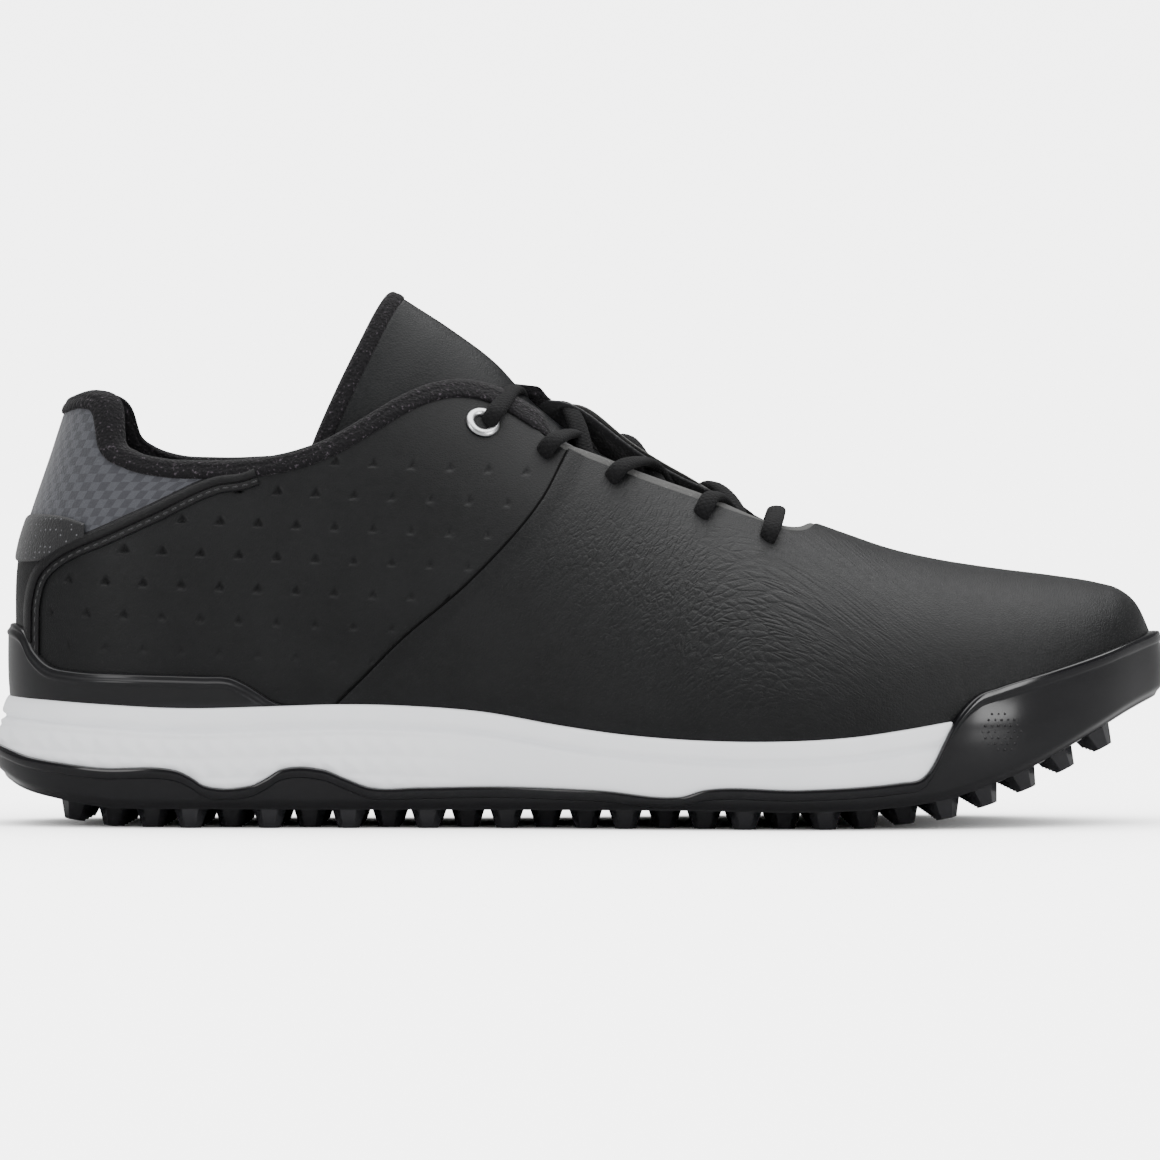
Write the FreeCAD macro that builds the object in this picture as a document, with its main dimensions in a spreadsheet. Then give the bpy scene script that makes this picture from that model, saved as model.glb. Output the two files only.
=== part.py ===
import FreeCAD, Part
import math
import os
from FreeCAD import Placement, Rotation, Vector

# A right golf shoe, in millimetres.  +X points to the toe, +Z up, and -Y is the lateral (outer) side.
# The origin is under the middle of the shoe, on the ground that the traction lugs stand on.

doc = FreeCAD.newDocument("golf_shoe")

# ---------------------------------------------------------------------------------------------
# Driving dimensions
# ---------------------------------------------------------------------------------------------
SIZES = [
    ("leather_skin", 1.6, "outer leather and heel fabric"),
    ("padding", 2.4, "stiffeners, backing and foam between skin and lining"),
    ("lining_cloth", 1.0, "lining"),
    ("binding_band", 4.6, "height of the knitted collar binding"),
    ("binding_proud", 0.6, "how far the binding stands out of the skin, on each face"),
    ("piping_band", 2.6, "width of the piping"),
    ("piping_proud", 1.2, "how far the piping stands out of the skin"),
    ("strap_proud", 0.9, "thickness of the heel strap"),
    ("clip_proud", 2.2, "thickness of the heel clip"),
    ("half_reach", 90.0, "side reach of every side-view block"),
    ("parting", 2.0, "y of the plane that parts the lateral from the medial side"),
    ("board", 2.0, "insole board"),
    ("sockliner_pad", 5.0, "sockliner"),
    ("sockliner_gap", 1.0, "side clearance of the sockliner"),
    ("tongue_gap", 5.0, "space between lining and tongue for the lace"),
    ("tongue_clearance", 2.4, "room between the collar binding and the tongue"),
    ("tongue_skin", 1.2, "tongue cover"),
    ("tongue_foam", 4.0, "tongue padding"),
    ("tongue_cloth", 0.8, "tongue lining"),
    ("lace_width", 3.4, "diameter of the lace"),
    ("hole_width", 4.4, "punched eyelet hole"),
    ("ring_bore", 4.2, "hole of the top eyelet ring"),
    ("ring_tube", 5.2, "outside of the ring's barrel"),
    ("ring_flange", 8.6, "outside of the ring's flange"),
    ("ring_proud", 0.8, "thickness of the ring's flange"),
    ("lug_pitch", 11.6, "spacing of the traction lugs"),
    ("lug_foot", 8.6, "lug width at the outsole"),
    ("lug_tip", 5.2, "lug width at the tip"),
    ("lug_depth", 4.9, "lug height"),
    ("shank_length", 78.0, "arch plate"),
    ("shank_width", 28.0, "arch plate"),
    ("shank_plate", 1.6, "arch plate"),
    ("aglet_length", 19.0, "lace end sleeve"),
    ("aglet_width", 4.2, "lace end sleeve"),
]
sheet = doc.addObject("Spreadsheet::Sheet", "sizes")
for row, (alias, value, note) in enumerate(SIZES, start=1):
    sheet.set(f"A{row}", str(value))
    sheet.set(f"B{row}", note)
    sheet.setAlias(f"A{row}", alias)
doc.recompute()


def size(alias):
    """Value of a driving dimension."""
    return float(sheet.get(alias))


# ---------------------------------------------------------------------------------------------
# Form lines, as (x, z) unless noted
# ---------------------------------------------------------------------------------------------
LATERAL, MEDIAL = -1, 1

RIDGE = [(-118, 142), (-60, 142), (-52, 140), (-46.8, 137), (-36.4, 130.5), (-20, 120.5), (-5, 111.5),
         (8.3, 104), (26, 94.5), (41.6, 87), (57.2, 80.9), (66.3, 77.8), (83.2, 72.9), (109.2, 66.9),
         (130, 62), (140.4, 57.8), (146.9, 51.5), (149, 47)]
FOOTBED = [(-146, 26), (-120, 23.5), (-60, 23), (-20, 21), (10, 16.5), (50, 14.5), (80, 17), (100, 21.5),
           (120, 27), (135, 33), (149, 38)]
BACK = [(18, -143.5), (34, -146.2), (52.6, -146.4), (68.2, -145.2), (77.3, -141.9), (95, -137.2),
        (110, -132.8), (125, -127), (142, -118)]            # (z, x)
CENTRE = [(-146, 0), (-80, 0.5), (-40, 2), (20, 2), (66, 2.5), (100, 4.5), (149, 7.5)]   # (x, y)
SIDE_REACH = {
    LATERAL: [(-146, 36.5), (-105, 36.8), (-80, 38), (-50, 40), (-20, 43), (10, 49), (40, 54), (60, 55.5)],
    MEDIAL: [(-146, 34), (-105, 33.8), (-80, 32.8), (-50, 29.5), (-20, 29.7), (10, 36), (40, 44), (75, 48)],
}                                                            # (x, half width)
TOE_TIP = 149.0
TOE_START = {LATERAL: 60.0, MEDIAL: 75.0}
TOE_POWER = {LATERAL: 2.0, MEDIAL: 1.95}
HEEL_START = -106.0
HEEL_POWER = 2.2
WIDEST = 0.15            # share of the height at which the upper is widest
TUCK = 0.10              # share of the width that it loses at the footbed
CROWN = [(-60, 1.5), (40, 1.25), (90, 2.0)]                  # (x, roundness of the top)

COLLAR = [(-133.5, 106.3), (-128, 107.3), (-124.5, 105.4), (-121, 96.4), (-115, 91.7), (-107, 89.5),
          (-96.7, 89), (-86.6, 89.2), (-73.8, 91), (-63.7, 95.6), (-53.5, 100.7), (-40.7, 106.8),
          (-33.1, 108.1), (-22.9, 107.6), (-16.5, 105.8), (-8.1, 99.6)]
COLLAR_MEDIAL = [(-133.5, 106.3), (-128, 107.3), (-124.5, 105.6), (-120, 98.4), (-114, 94.9), (-106, 93.2),
                 (-96.7, 92.8), (-86.6, 93), (-73.8, 94.6), (-63.7, 98.4), (-53.5, 102.6), (-40.7, 107.8),
                 (-33.1, 109.4), (-22.9, 109.8), (-16.5, 109.2), (-8.1, 106.4)]
FACING = [(-8.1, 99.6), (5.1, 95.1), (15.4, 91), (30.8, 85.6), (46.2, 79.7), (58, 77), (67, 78.6)]
FACING_MEDIAL = [(-8.1, 106.4), (2, 103.5), (12, 99), (26, 91.3), (42, 83.8), (57, 78.6), (67, 78.6)]
SEAM = [(-3.8, 95), (-10.1, 83.2), (-27.8, 63), (-45.5, 47.8), (-55.6, 37.7), (-61.9, 31.4)]
PIPING = [(-86, 88.4), (-92.9, 87.3), (-109.5, 79.6), (-122, 74), (-129, 71.2), (-134.5, 68.2),
          (-138.5, 64.3), (-140.6, 57.9), (-141, 50.4), (-141, 43)]
CLIP_TOP = [(-160, 51), (-148.7, 51), (-141.2, 48), (-139, 43.7), (-134.5, 38.6), (-129, 36), (-117.3, 34.9),
            (-96.5, 34.3), (-77, 34.3), (-64.7, 30.9)]
FEATHER = [(-160, 34), (-146, 33), (-136, 32.2), (-121.3, 31.2), (-101.1, 30.2), (-78.3, 30.7), (-60.6, 31.2),
           (-45.5, 30.9), (-25.3, 29.4), (-5, 25.9), (10.1, 23.8), (30.3, 22.3), (50.5, 22.1),
           (68.2, 23.1), (80.9, 24.8), (94.3, 27.1)]
BUMPER_TOP = [(94.3, 27.1), (99.8, 33.2), (106.1, 35.7), (119.5, 39.6), (133, 43.8), (144.8, 48), (160, 52.8)]
LIP = [(-160, 22), (-150.8, 21), (-141.2, 18), (-132.5, 16.5), (-122, 15.3), (-102.3, 14.7), (-98.6, 13),
       (-95.3, 10.9), (-83.4, 10.9), (-79.6, 12.7), (-75.8, 15), (-65.2, 15), (-59.4, 12.7), (-53.1, 10.4),
       (-40.4, 10.4), (-20.2, 10.7), (5, 9.9), (25.3, 8.4), (31.6, 10.2), (55.6, 10.2), (80.9, 12),
       (85.9, 13), (87.9, 15), (94.3, 27.1)]
TREAD = [(-160, 17), (-150, 12.9), (-143.8, 9.6), (-133, 7), (-121, 5.2), (-100, 4.9), (20, 4.9), (73, 5.1),
         (93.2, 7.7), (102, 10.4), (114.4, 15.2), (131.7, 24.1), (142.6, 29.8), (160, 37)]
SOLE_BACK = [(0, -146), (8.4, -148.2), (16.2, -151.8), (22.7, -150.8), (28.7, -149.5), (34, -147.8), (54, -147)]
SOLE_FRONT = [(0, 146), (25, 150), (39.6, 151.7), (54, 149.5)]     # both (z, x)
SOLE_FLARE = [(0, -1.6), (14, 0), (26, -0.8), (34, -1.8), (54, -2.6)]   # (z, growth of the half width)
SOLE_LEVELS = [0, 9, 17, 26, 34, 44, 54]
SOLE_PLAN = {
    LATERAL: [(-150, 14), (-140, 29), (-125, 37), (-105, 40.5), (-80, 41), (-50, 41.5), (-20, 44), (10, 50),
              (40, 54.2), (65, 55.5), (90, 51.2), (115, 41.6), (135, 27), (146, 12)],
    MEDIAL: [(-150, 14), (-140, 28), (-125, 35.5), (-105, 38), (-80, 36.5), (-50, 34), (-20, 34.5), (10, 41),
             (40, 49.5), (65, 54.2), (85, 55.6), (105, 52.2), (125, 42.5), (140, 28.5), (147.5, 17)],
}                                                            # (x, distance from y = 0)
SOLE_TIP_Y = 4.0
EYELETS = [(48.1, 75.8), (30.7, 81.7), (7.7, 89), (-9.5, 95.7), (-23.8, 103.2)]
EYELETS_MEDIAL = [(48.1, 76.9), (30.7, 84.2), (7.7, 94), (-9.5, 101.3), (-23.8, 106)]

# Tongue: how far its ridge lies under the upper's ridge, and its outline seen from the side.
TONGUE_DROP = [(-30, 1.0), (-22, 2.6), (-14, 6.2), (-5, 8.6), (5, 10.0)]
TONGUE_BACK = [(-47.2, 141), (-51.5, 134), (-56, 124), (-61, 111), (-67, 97), (-70, 88)]
TONGUE_HEM = [(-70, 88), (-45, 81), (-10, 68), (20, 56), (50, 52), (74, 52)]
HINGE = (-26.0, 123.6)
HINGE_LEAN = math.radians(31)      # the fold plane leans this far from vertical
FOLD_BACK = math.radians(6.5)      # relief for the tongue leaning back


def curve_at(points, place):
    """Value at a place on the smooth curve through (place, value) points, flat outside them."""
    if place <= points[0][0]:
        return points[0][1]
    if place >= points[-1][0]:
        return points[-1][1]
    steps = [(b[1] - a[1]) / (b[0] - a[0]) for a, b in zip(points, points[1:])]
    slopes = [steps[0]] + [(a + b) / 2 for a, b in zip(steps, steps[1:])] + [steps[-1]]
    i = max(k for k in range(len(steps)) if points[k][0] <= place)
    span = points[i + 1][0] - points[i][0]
    u = (place - points[i][0]) / span
    return (points[i][1] * (1 + 2 * u) * (1 - u) ** 2 + slopes[i] * span * u * (1 - u) ** 2
            + points[i + 1][1] * u * u * (3 - 2 * u) - slopes[i + 1] * span * u * u * (1 - u))


def closing(u, power):
    """Superellipse that falls from 1 at u = 0 to 0 at u = 1."""
    return (1 - min(max(u, 0.0), 1.0) ** power) ** (1 / power)


def half_width(side, x, z, grow=0.0, drop=None):
    """Distance of the upper's outer face from its centre line, grown or shrunk by grow."""
    low = curve_at(FOOTBED, x)
    top = curve_at(RIDGE, x) + (grow if drop is None else -drop(x))
    share = (z - low) / (top - low)
    if share < WIDEST:
        bulge = 1 - TUCK * (1 - share / WIDEST) ** 2
    else:
        rise = min((share - WIDEST) / (1 - WIDEST), 1.0)
        bulge = (1 - rise ** 2) ** (1 / curve_at(CROWN, x))
    start = TOE_START[side]
    toe = closing((x - start) / (TOE_TIP + grow - start), TOE_POWER[side])
    heel = closing((HEEL_START - x) / (HEEL_START - curve_at(BACK, z) + grow), HEEL_POWER)
    return (curve_at(SIDE_REACH[side], x) + grow) * bulge * toe * heel


def surface_point(side, x, z, grow=0.0):
    """Point of the upper's face at (x, z)."""
    return Vector(x, curve_at(CENTRE, x) + side * half_width(side, x, z, grow), z)


def surface_normal(side, x, z):
    """Outward normal of the upper's face at (x, z)."""
    along = surface_point(side, x + 0.5, z) - surface_point(side, x - 0.5, z)
    upward = surface_point(side, x, z + 0.5) - surface_point(side, x, z - 0.5)
    normal = along.cross(upward).normalize()
    return normal if normal.y * side > 0 else -normal


# ---------------------------------------------------------------------------------------------
# Free-form blanks
# ---------------------------------------------------------------------------------------------
def sharpen(line):
    """Poles whose cubic spline runs through the line's own points."""
    inner = [b - (a - b * 2 + c) / 6 for a, b, c in zip(line, line[1:], line[2:])]
    return [line[0]] + inner + [line[-1]]


def spline_face(rows, degrees=(3, 3)):
    """Clamped uniform spline face over a grid of poles."""
    counts = (len(rows), len(rows[0]))
    knots = [[float(k) for k in range(n - d + 1)] for n, d in zip(counts, degrees)]
    repeats = [[d + 1] + [1] * (n - d - 1) + [d + 1] for n, d in zip(counts, degrees)]
    surface = Part.BSplineSurface()
    surface.buildFromPolesMultsKnots(rows, repeats[0], repeats[1], knots[0], knots[1], False, False, *degrees)
    return surface.toShape()


def upper_solid(grow, sink=0.0, drop=None, stations=28, levels=10):
    """Closed block with the upper's form: two side faces that meet at heel, ridge and toe, and a base."""
    corner = curve_at(BACK, RIDGE[0][1]) - grow
    tip = TOE_TIP + grow
    sides = {}
    for side in (LATERAL, MEDIAL):
        rows = []
        for i in range(stations + 1):
            run = (1 - math.cos(math.pi * i / stations)) / 2
            top_x = corner * (1 - run) + tip * run
            top_z = curve_at(RIDGE, top_x) + (grow if drop is None else -drop(top_x))
            low_x = (curve_at(BACK, 20) - grow) * (1 - run) + tip * run
            low_z = curve_at(FOOTBED, low_x) - sink
            shift = top_x - (curve_at(BACK, top_z) - grow) * (1 - run) - tip * run
            row = []
            for j in range(levels + 1):
                lift = math.sin(math.pi / 2 * j / levels)
                z = low_z + (top_z - low_z) * lift
                x = (curve_at(BACK, z) - grow) * (1 - run) + tip * run + shift * (j / levels) ** 2
                inside = 0 < i < stations and j < levels
                width = half_width(side, x, z, grow, drop) if inside else 0.0
                row.append(Vector(x, curve_at(CENTRE, x) + side * width, z))
            rows.append(row)
        rows = [list(row) for row in zip(*[sharpen(line) for line in zip(*rows)])]
        sides[side] = [sharpen(row) for row in rows]
    base = spline_face([[row[0] for row in sides[LATERAL]], [row[0] for row in sides[MEDIAL]]], (1, 3))
    shell = Part.makeShell([spline_face(sides[LATERAL]), spline_face(sides[MEDIAL]), base])
    shell.sewShape()
    solid = Part.makeSolid(shell)
    return solid if solid.Volume > 0 else solid.reversed()


def feature(name, shape):
    """Document object that holds a computed shape."""
    item = doc.addObject("Part::Feature", name)
    item.Shape = shape
    return item


def cut(name, base, *tools):
    """Base less every tool."""
    for count, tool in enumerate(tools):
        last = count == len(tools) - 1
        item = doc.addObject("Part::Cut", name if last else f"{name}_less_{count}")
        item.Base, item.Tool, item.Refine = base, tool, False
        base = item
    return base


def common(name, *shapes):
    """What all the shapes share."""
    item = doc.addObject("Part::MultiCommon", name)
    item.Shapes, item.Refine = list(shapes), False
    return item


def outline(name, runs, place):
    """Closed sketch; a run of two points is a straight line, a longer one a smooth curve."""
    sketch = doc.addObject("Sketcher::SketchObject", name)
    sketch.Placement = place
    for run in runs:
        points = [Vector(a, b, 0) for a, b in run]
        if len(points) == 2:
            edge = Part.LineSegment(*points)
        else:
            edge = Part.BSplineCurve()
            edge.interpolate(points)
        sketch.addGeometry(edge, False)
    return sketch


def closed(*runs):
    """The runs, with straight lines across the gaps between them."""
    chain = []
    for run, following in zip(runs, runs[1:] + runs[:1]):
        chain.append(run)
        if run[-1] != following[0]:
            chain.append([run[-1], following[0]])
    return chain


def side_block(name, sides, *runs):
    """Block whose outline is seen from the side; it reaches across one side or both."""
    block = doc.addObject("Part::Extrusion", name)
    block.Base = outline(f"{name}_outline", closed(*runs), Placement(Vector(), Rotation(Vector(1, 0, 0), 90)))
    block.DirMode = "Normal"
    block.Solid = True
    reach = {(LATERAL,): ("sizes.half_reach", "sizes.parting"),
             (MEDIAL,): ("-sizes.parting", "sizes.half_reach"),
             (LATERAL, MEDIAL): ("sizes.half_reach", "sizes.half_reach")}[sides]
    block.setExpression("LengthFwd", reach[0])
    block.setExpression("LengthRev", reach[1])
    return block


def beside(line, gap):
    """The line moved sideways by gap, to its left as seen from the lateral side."""
    moved = []
    for i, (x, z) in enumerate(line):
        before, after = line[max(i - 1, 0)], line[min(i + 1, len(line) - 1)]
        length = math.hypot(after[0] - before[0], after[1] - before[1])
        moved.append((x - gap * (after[1] - before[1]) / length, z + gap * (after[0] - before[0]) / length))
    return moved


def lifted(line, rise):
    """The line moved up by rise."""
    return [(x, z + rise) for x, z in line]


BOTH = (LATERAL, MEDIAL)
skin, pad, cloth = size("leather_skin"), size("padding"), size("lining_cloth")
proud = size("binding_proud")
form = {grow: feature(f"form_{number}", upper_solid(grow, sink))
        for number, (grow, sink) in enumerate([
            (size("clip_proud"), 0), (size("piping_proud"), 0), (size("strap_proud"), 0), (proud, 0), (0.0, 0),
            (-skin, 4), (-skin - pad, 4), (-skin - pad - cloth, 4), (-skin - pad - cloth - proud, 8),
            (-skin - pad - cloth - size("sockliner_gap"), 4)])}


def layer(name, outer, inner):
    """Shell between two blanks."""
    return cut(name, form[outer], form[inner])


# Everything above the collar and the facings is open.
above = [side_block("above_lateral", (LATERAL,), COLLAR, FACING, [(67, 78.6), (67, 200)], [(-190, 200), (-190, 106.3)]),
         side_block("above_medial", (MEDIAL,), COLLAR_MEDIAL, FACING_MEDIAL, [(67, 78.6), (67, 200)],
                    [(-190, 200), (-190, 106.3)])]
above_board = lifted(FOOTBED, size("board"))
under_board = side_block("under_board", BOTH, [(-160, above_board[0][1]), above_board[0]], above_board,
                         [above_board[-1], (160, above_board[-1][1])], [(160, 0), (-160, 0)])

# Eyelet holes, square to the skin.
hole_rods = []
for side, spots in ((LATERAL, EYELETS), (MEDIAL, EYELETS_MEDIAL)):
    for count, (x, z) in enumerate(spots):
        reach = 12.0
        width = size("ring_tube") if count == 4 else size("hole_width")
        normal = surface_normal(side, x, z)
        hole_rods.append(Part.makeCylinder(width / 2, 2 * reach, surface_point(side, x, z) + normal * reach, -normal))
eyelet_holes = feature("eyelet_holes", Part.makeCompound(hole_rods))

subparts = {}


def keep(name, item):
    """Make an object a sub-part of the shoe."""
    item.Label = name
    subparts[name] = item
    return item


# ---------------------------------------------------------------------------------------------
# Skin: vamp, quarters, heel fabric and backstay
# ---------------------------------------------------------------------------------------------
skin_blank = cut("skin_blank", layer("skin_layer", 0.0, -skin), above[0], above[1], eyelet_holes)
seam_up = [(1.5, 110)] + SEAM + [(-70, 22)]
ahead_of_seam = [(-70, 22), (-70, 0)], [(160, 0), (160, 110)]
keep("vamp", common("vamp", skin_blank, side_block("vamp_block", BOTH, seam_up, *ahead_of_seam)))
piping_down = [(-78, 91.5)] + PIPING + [(-141, 12)]
for side, name in ((LATERAL, "lateral_quarter"), (MEDIAL, "medial_quarter")):
    block = side_block(f"{name}_block", (side,), seam_up, [(-70, 22), (-70, 0)], [(-141, 0), (-141, 12)],
                       piping_down[::-1], [(-78, 120), (1.5, 120)])
    keep(name, common(name, skin_blank, block))
heel_blank = common("heel_blank", skin_blank, side_block(
    "heel_block", BOTH, piping_down, [(-141, 12), (-141, 0)], [(-160, 0), (-160, 120)], [(-78, 120), (-78, 91.5)]))
strap_middle = 74.0
below_strap = side_block("below_strap", BOTH, [(-160, 0), (-100, 0)], [(-100, strap_middle), (-160, strap_middle)])
keep("backstay", common("backstay", heel_blank, below_strap))
keep("heel_panel", cut("heel_panel", heel_blank, below_strap))

# ---------------------------------------------------------------------------------------------
# Trim on the skin: piping, heel strap, heel clip, collar binding
# ---------------------------------------------------------------------------------------------
piping_half = size("piping_band") / 2
piping_top, piping_foot = beside(PIPING, -piping_half), beside(PIPING, piping_half)
clip_block = side_block("clip_block", BOTH, CLIP_TOP, [(-64.7, 30.9), (-64.7, 30.4)], FEATHER[6::-1][1:])
piping_layer = layer("piping_layer", size("piping_proud"), 0.0)
over_collar = side_block("over_collar", BOTH, COLLAR[:-4], [(-33.1, 130), (-190, 130)], [(-190, 106.3), COLLAR[0]])
under_feather = side_block("under_feather", BOTH, FEATHER[:8], [FEATHER[7], (-45, 0)], [(-160, 0), (-160, 34)])
clip = keep("heel_clip", cut("heel_clip", common("clip_blank", layer("clip_layer", size("clip_proud"), 0.0),
                                                 clip_block), under_feather))
piping_bands = []
for side, name in ((LATERAL, "lateral_piping"), (MEDIAL, "medial_piping")):
    band = side_block(f"{name}_band", (side,), piping_top, piping_foot[::-1])
    piping_bands.append(band)
    keep(name, cut(name, common(f"{name}_strip", piping_layer, band), clip_block, under_feather, above[0], above[1]))
strap_block = side_block("strap_block", BOTH, [(-160, 68.7), (-134, 68.7)], [(-126.5, 73), (-126.5, 77.5)],
                         [(-126.5, 77.5), (-133, 79.6), (-160, 79.6)])
below_piping = side_block("below_piping", BOTH, PIPING, [(-141, 0), (-60, 0)])
keep("heel_strap", cut("heel_strap", common("strap_blank", layer("strap_layer", size("strap_proud"), 0.0),
                                            strap_block), below_piping, *piping_bands))
binding_layer = layer("binding_layer", proud, -skin - pad - cloth - proud)
binding_blanks = {}
for side, line, name in ((LATERAL, COLLAR, "lateral_collar_binding"), (MEDIAL, COLLAR_MEDIAL, "medial_collar_binding")):
    crest = beside(line, size("binding_band"))
    block = side_block(f"{name}_band", (side,), [(-160, line[0][1]), line[0]], line,
                       crest[::-1], [crest[0], (-160, crest[0][1])])
    binding_blanks[name] = common(f"{name}_blank", binding_layer, block)

# ---------------------------------------------------------------------------------------------
# Between skin and lining: stays, toe puff, heel counter, collar foam, backing; then the lining
# ---------------------------------------------------------------------------------------------
core_blank = cut("core_blank", layer("core_layer", -skin, -skin - pad), above[0], above[1], eyelet_holes, under_board)
stay_depth = 14.0
stay_blocks = []
for side, line, name in ((LATERAL, FACING, "lateral_facing_stay"), (MEDIAL, FACING_MEDIAL, "medial_facing_stay")):
    inner = beside(line[:-1], -stay_depth)
    inner = [(-31, 96.5)] + inner + [(67, 66)]
    block = side_block(f"{name}_block", (side,), inner, [(67, 66), (67, 120)], [(-31, 120), (-31, 96.5)])
    stay_blocks.append(block)
    keep(name, common(name, core_blank, block))
puff_block = side_block("puff_block", BOTH, [(104, 0), (110, 40), (104, 90)], [(160, 90), (160, 0)])
keep("toe_puff", common("toe_puff", core_blank, puff_block))
counter_block = side_block("counter_block", BOTH, [(-160, 70), (-110, 70), (-90, 56), (-86, 0)], [(-160, 0), (-160, 70)])
foam_block = side_block("foam_block", BOTH, [(-160, 70), (-110, 70), (-70, 72), (-31, 86)], [(-31, 130), (-160, 130)])
keep("heel_counter", cut("heel_counter", common("counter_blank", core_blank, counter_block), foam_block))
keep("collar_foam", common("collar_foam", core_blank, foam_block))
keep("upper_backing", cut("upper_backing", core_blank, stay_blocks[0], stay_blocks[1], puff_block, counter_block,
                          foam_block))
keep("lining", cut("lining", layer("lining_layer", -skin - pad, -skin - pad - cloth), above[0], above[1],
                   eyelet_holes, under_board))

# ---------------------------------------------------------------------------------------------
# Footbed: board and removable sockliner
# ---------------------------------------------------------------------------------------------
board_block = side_block("board_block", BOTH, FOOTBED, above_board[::-1])
board = keep("insole_board", common("insole_board", form[-skin], board_block))
PAD_GAP = 0.3
sockliner_end = 131.0
pad_low = [point for point in lifted(above_board, PAD_GAP) if point[0] < sockliner_end]
pad_low.append((sockliner_end, curve_at(above_board, sockliner_end) + PAD_GAP))
pad_top = lifted(pad_low, size("sockliner_pad"))
pad_form = form[-skin - pad - cloth - size("sockliner_gap")]
keep("sockliner", common("sockliner", pad_form, side_block("sockliner_block", BOTH, pad_low, pad_top[::-1])))

# ---------------------------------------------------------------------------------------------
# Sole: midsole, arch plate, outsole and traction lugs
# ---------------------------------------------------------------------------------------------
def sole_outline(level):
    """Sketch of the sole's plan outline at a height, one closed curve from the heel round the toe."""
    back, front = curve_at(SOLE_BACK, level), curve_at(SOLE_FRONT, level)
    points = [Vector(back, 0, 0)]
    for side, line in ((LATERAL, SOLE_PLAN[LATERAL]), (MEDIAL, SOLE_PLAN[MEDIAL][::-1])):
        if side == MEDIAL:
            points.append(Vector(front, SOLE_TIP_Y, 0))
        for x, y in line:
            share = (x + 152) / 304
            points.append(Vector(back + (front - back) * share, side * (y + curve_at(SOLE_FLARE, level)), 0))
    edge = Part.BSplineCurve()
    edge.interpolate(Points=points, PeriodicFlag=True)
    sketch = doc.addObject("Sketcher::SketchObject", f"sole_outline_{level}")
    sketch.Placement = Placement(Vector(0, 0, level), Rotation())
    sketch.addGeometry(edge, False)
    return sketch


sole_form = doc.addObject("Part::Loft", "sole_form")
sole_form.Sections = [sole_outline(level) for level in SOLE_LEVELS]
sole_form.Solid = True
sole_form.Ruled = False

shank = doc.addObject("PartDesign::Body", "shank_body")
shank_sketch = shank.newObject("Sketcher::SketchObject", "shank_sketch")
plane = [item for item in shank.Origin.OriginFeatures if item.Role == "XY_Plane"][0]
shank_sketch.AttachmentSupport = [(plane, "")]
shank_sketch.MapMode = "FlatFace"
half_length, half_breadth = size("shank_length") / 2, size("shank_width") / 2
corners = [Vector(-half_length, -half_breadth, 0), Vector(half_length, -half_breadth, 0),
           Vector(half_length, half_breadth, 0), Vector(-half_length, half_breadth, 0)]
for first, second in zip(corners, corners[1:] + corners[:1]):
    shank_sketch.addGeometry(Part.LineSegment(first, second), False)
shank_pad = shank.newObject("PartDesign::Pad", "shank_pad")
shank_pad.Profile = shank_sketch
shank_pad.setExpression("Length", "sizes.shank_plate")
shank.Placement = Placement(Vector(-40, 0, 16.2), Rotation())
keep("shank", shank)

midsole_block = side_block("midsole_block", BOTH, FEATHER, LIP[::-1])
keep("midsole", cut("midsole", common("midsole_blank", sole_form, midsole_block), form[0.0], shank, board))
outsole_block = side_block("outsole_block", BOTH, LIP, BUMPER_TOP, [(160, 52.8), (160, 37)], TREAD[::-1])
outsole = keep("outsole", cut("outsole", common("outsole_blank", sole_form, outsole_block), form[0.0], board))


def hexagon(width, level):
    """Hexagonal wire, flats to front and back."""
    corners = [Vector(width / 2 * math.cos(math.radians(60 * k)), width / 2 * math.sin(math.radians(60 * k)), level)
               for k in range(6)]
    return Part.makePolygon(corners + corners[:1])


def plan_reach(side, x):
    """Distance of the sole's edge from y = 0."""
    return curve_at([(-152, 0)] + SOLE_PLAN[side] + [(152, 0)], x)


def traction_lugs(first_x, last_x):
    """Tapered hexagonal lugs in staggered rows that follow the tread's curve."""
    pitch, depth = size("lug_pitch"), size("lug_depth")
    one = Part.makeLoft([hexagon(size("lug_tip"), -depth), hexagon(size("lug_foot"), 0),
                         hexagon(size("lug_foot"), 1.0)], True, True)
    lugs = []
    for column in range(-13, 14):
        x = column * pitch * math.sqrt(3) / 2 + 1.5
        if not first_x < x < last_x:
            continue
        slope = math.atan((curve_at(TREAD, x + 1) - curve_at(TREAD, x - 1)) / 2)
        for step in range(-5, 6):
            y = (step + 0.5 * (column % 2)) * pitch
            side = LATERAL if y < 0 else MEDIAL
            margin = size("lug_foot") / 2 + 1.5 + 3 * abs(math.sin(slope))
            if min(plan_reach(side, x - 4), plan_reach(side, x + 4)) - abs(y) < margin:
                continue
            lug = one.copy()
            lug.Placement = Placement(Vector(x, y, curve_at(TREAD, x)), Rotation(Vector(0, 1, 0), -math.degrees(slope)))
            lugs.append(lug)
    return Part.makeCompound(lugs)


lug_split = -18.0
for name, first_x, last_x in (("rear_lugs", -140, lug_split), ("front_lugs", lug_split, 140)):
    keep(name, cut(name, feature(f"{name}_blank", traction_lugs(first_x, last_x)), outsole_block))

# ---------------------------------------------------------------------------------------------
# Tongue: fixed root and a free flap that folds at the top of the lacing
# ---------------------------------------------------------------------------------------------
tongue_depth = skin + pad + cloth + size("tongue_gap")


def tongue_form(name, depth, sink):
    """Blank with the tongue's form, shrunk by depth; deeper blanks also sink lower, so that shells open below."""
    return feature(name, upper_solid(-tongue_depth - depth, sink, lambda x: curve_at(TONGUE_DROP, x) + depth))


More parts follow.
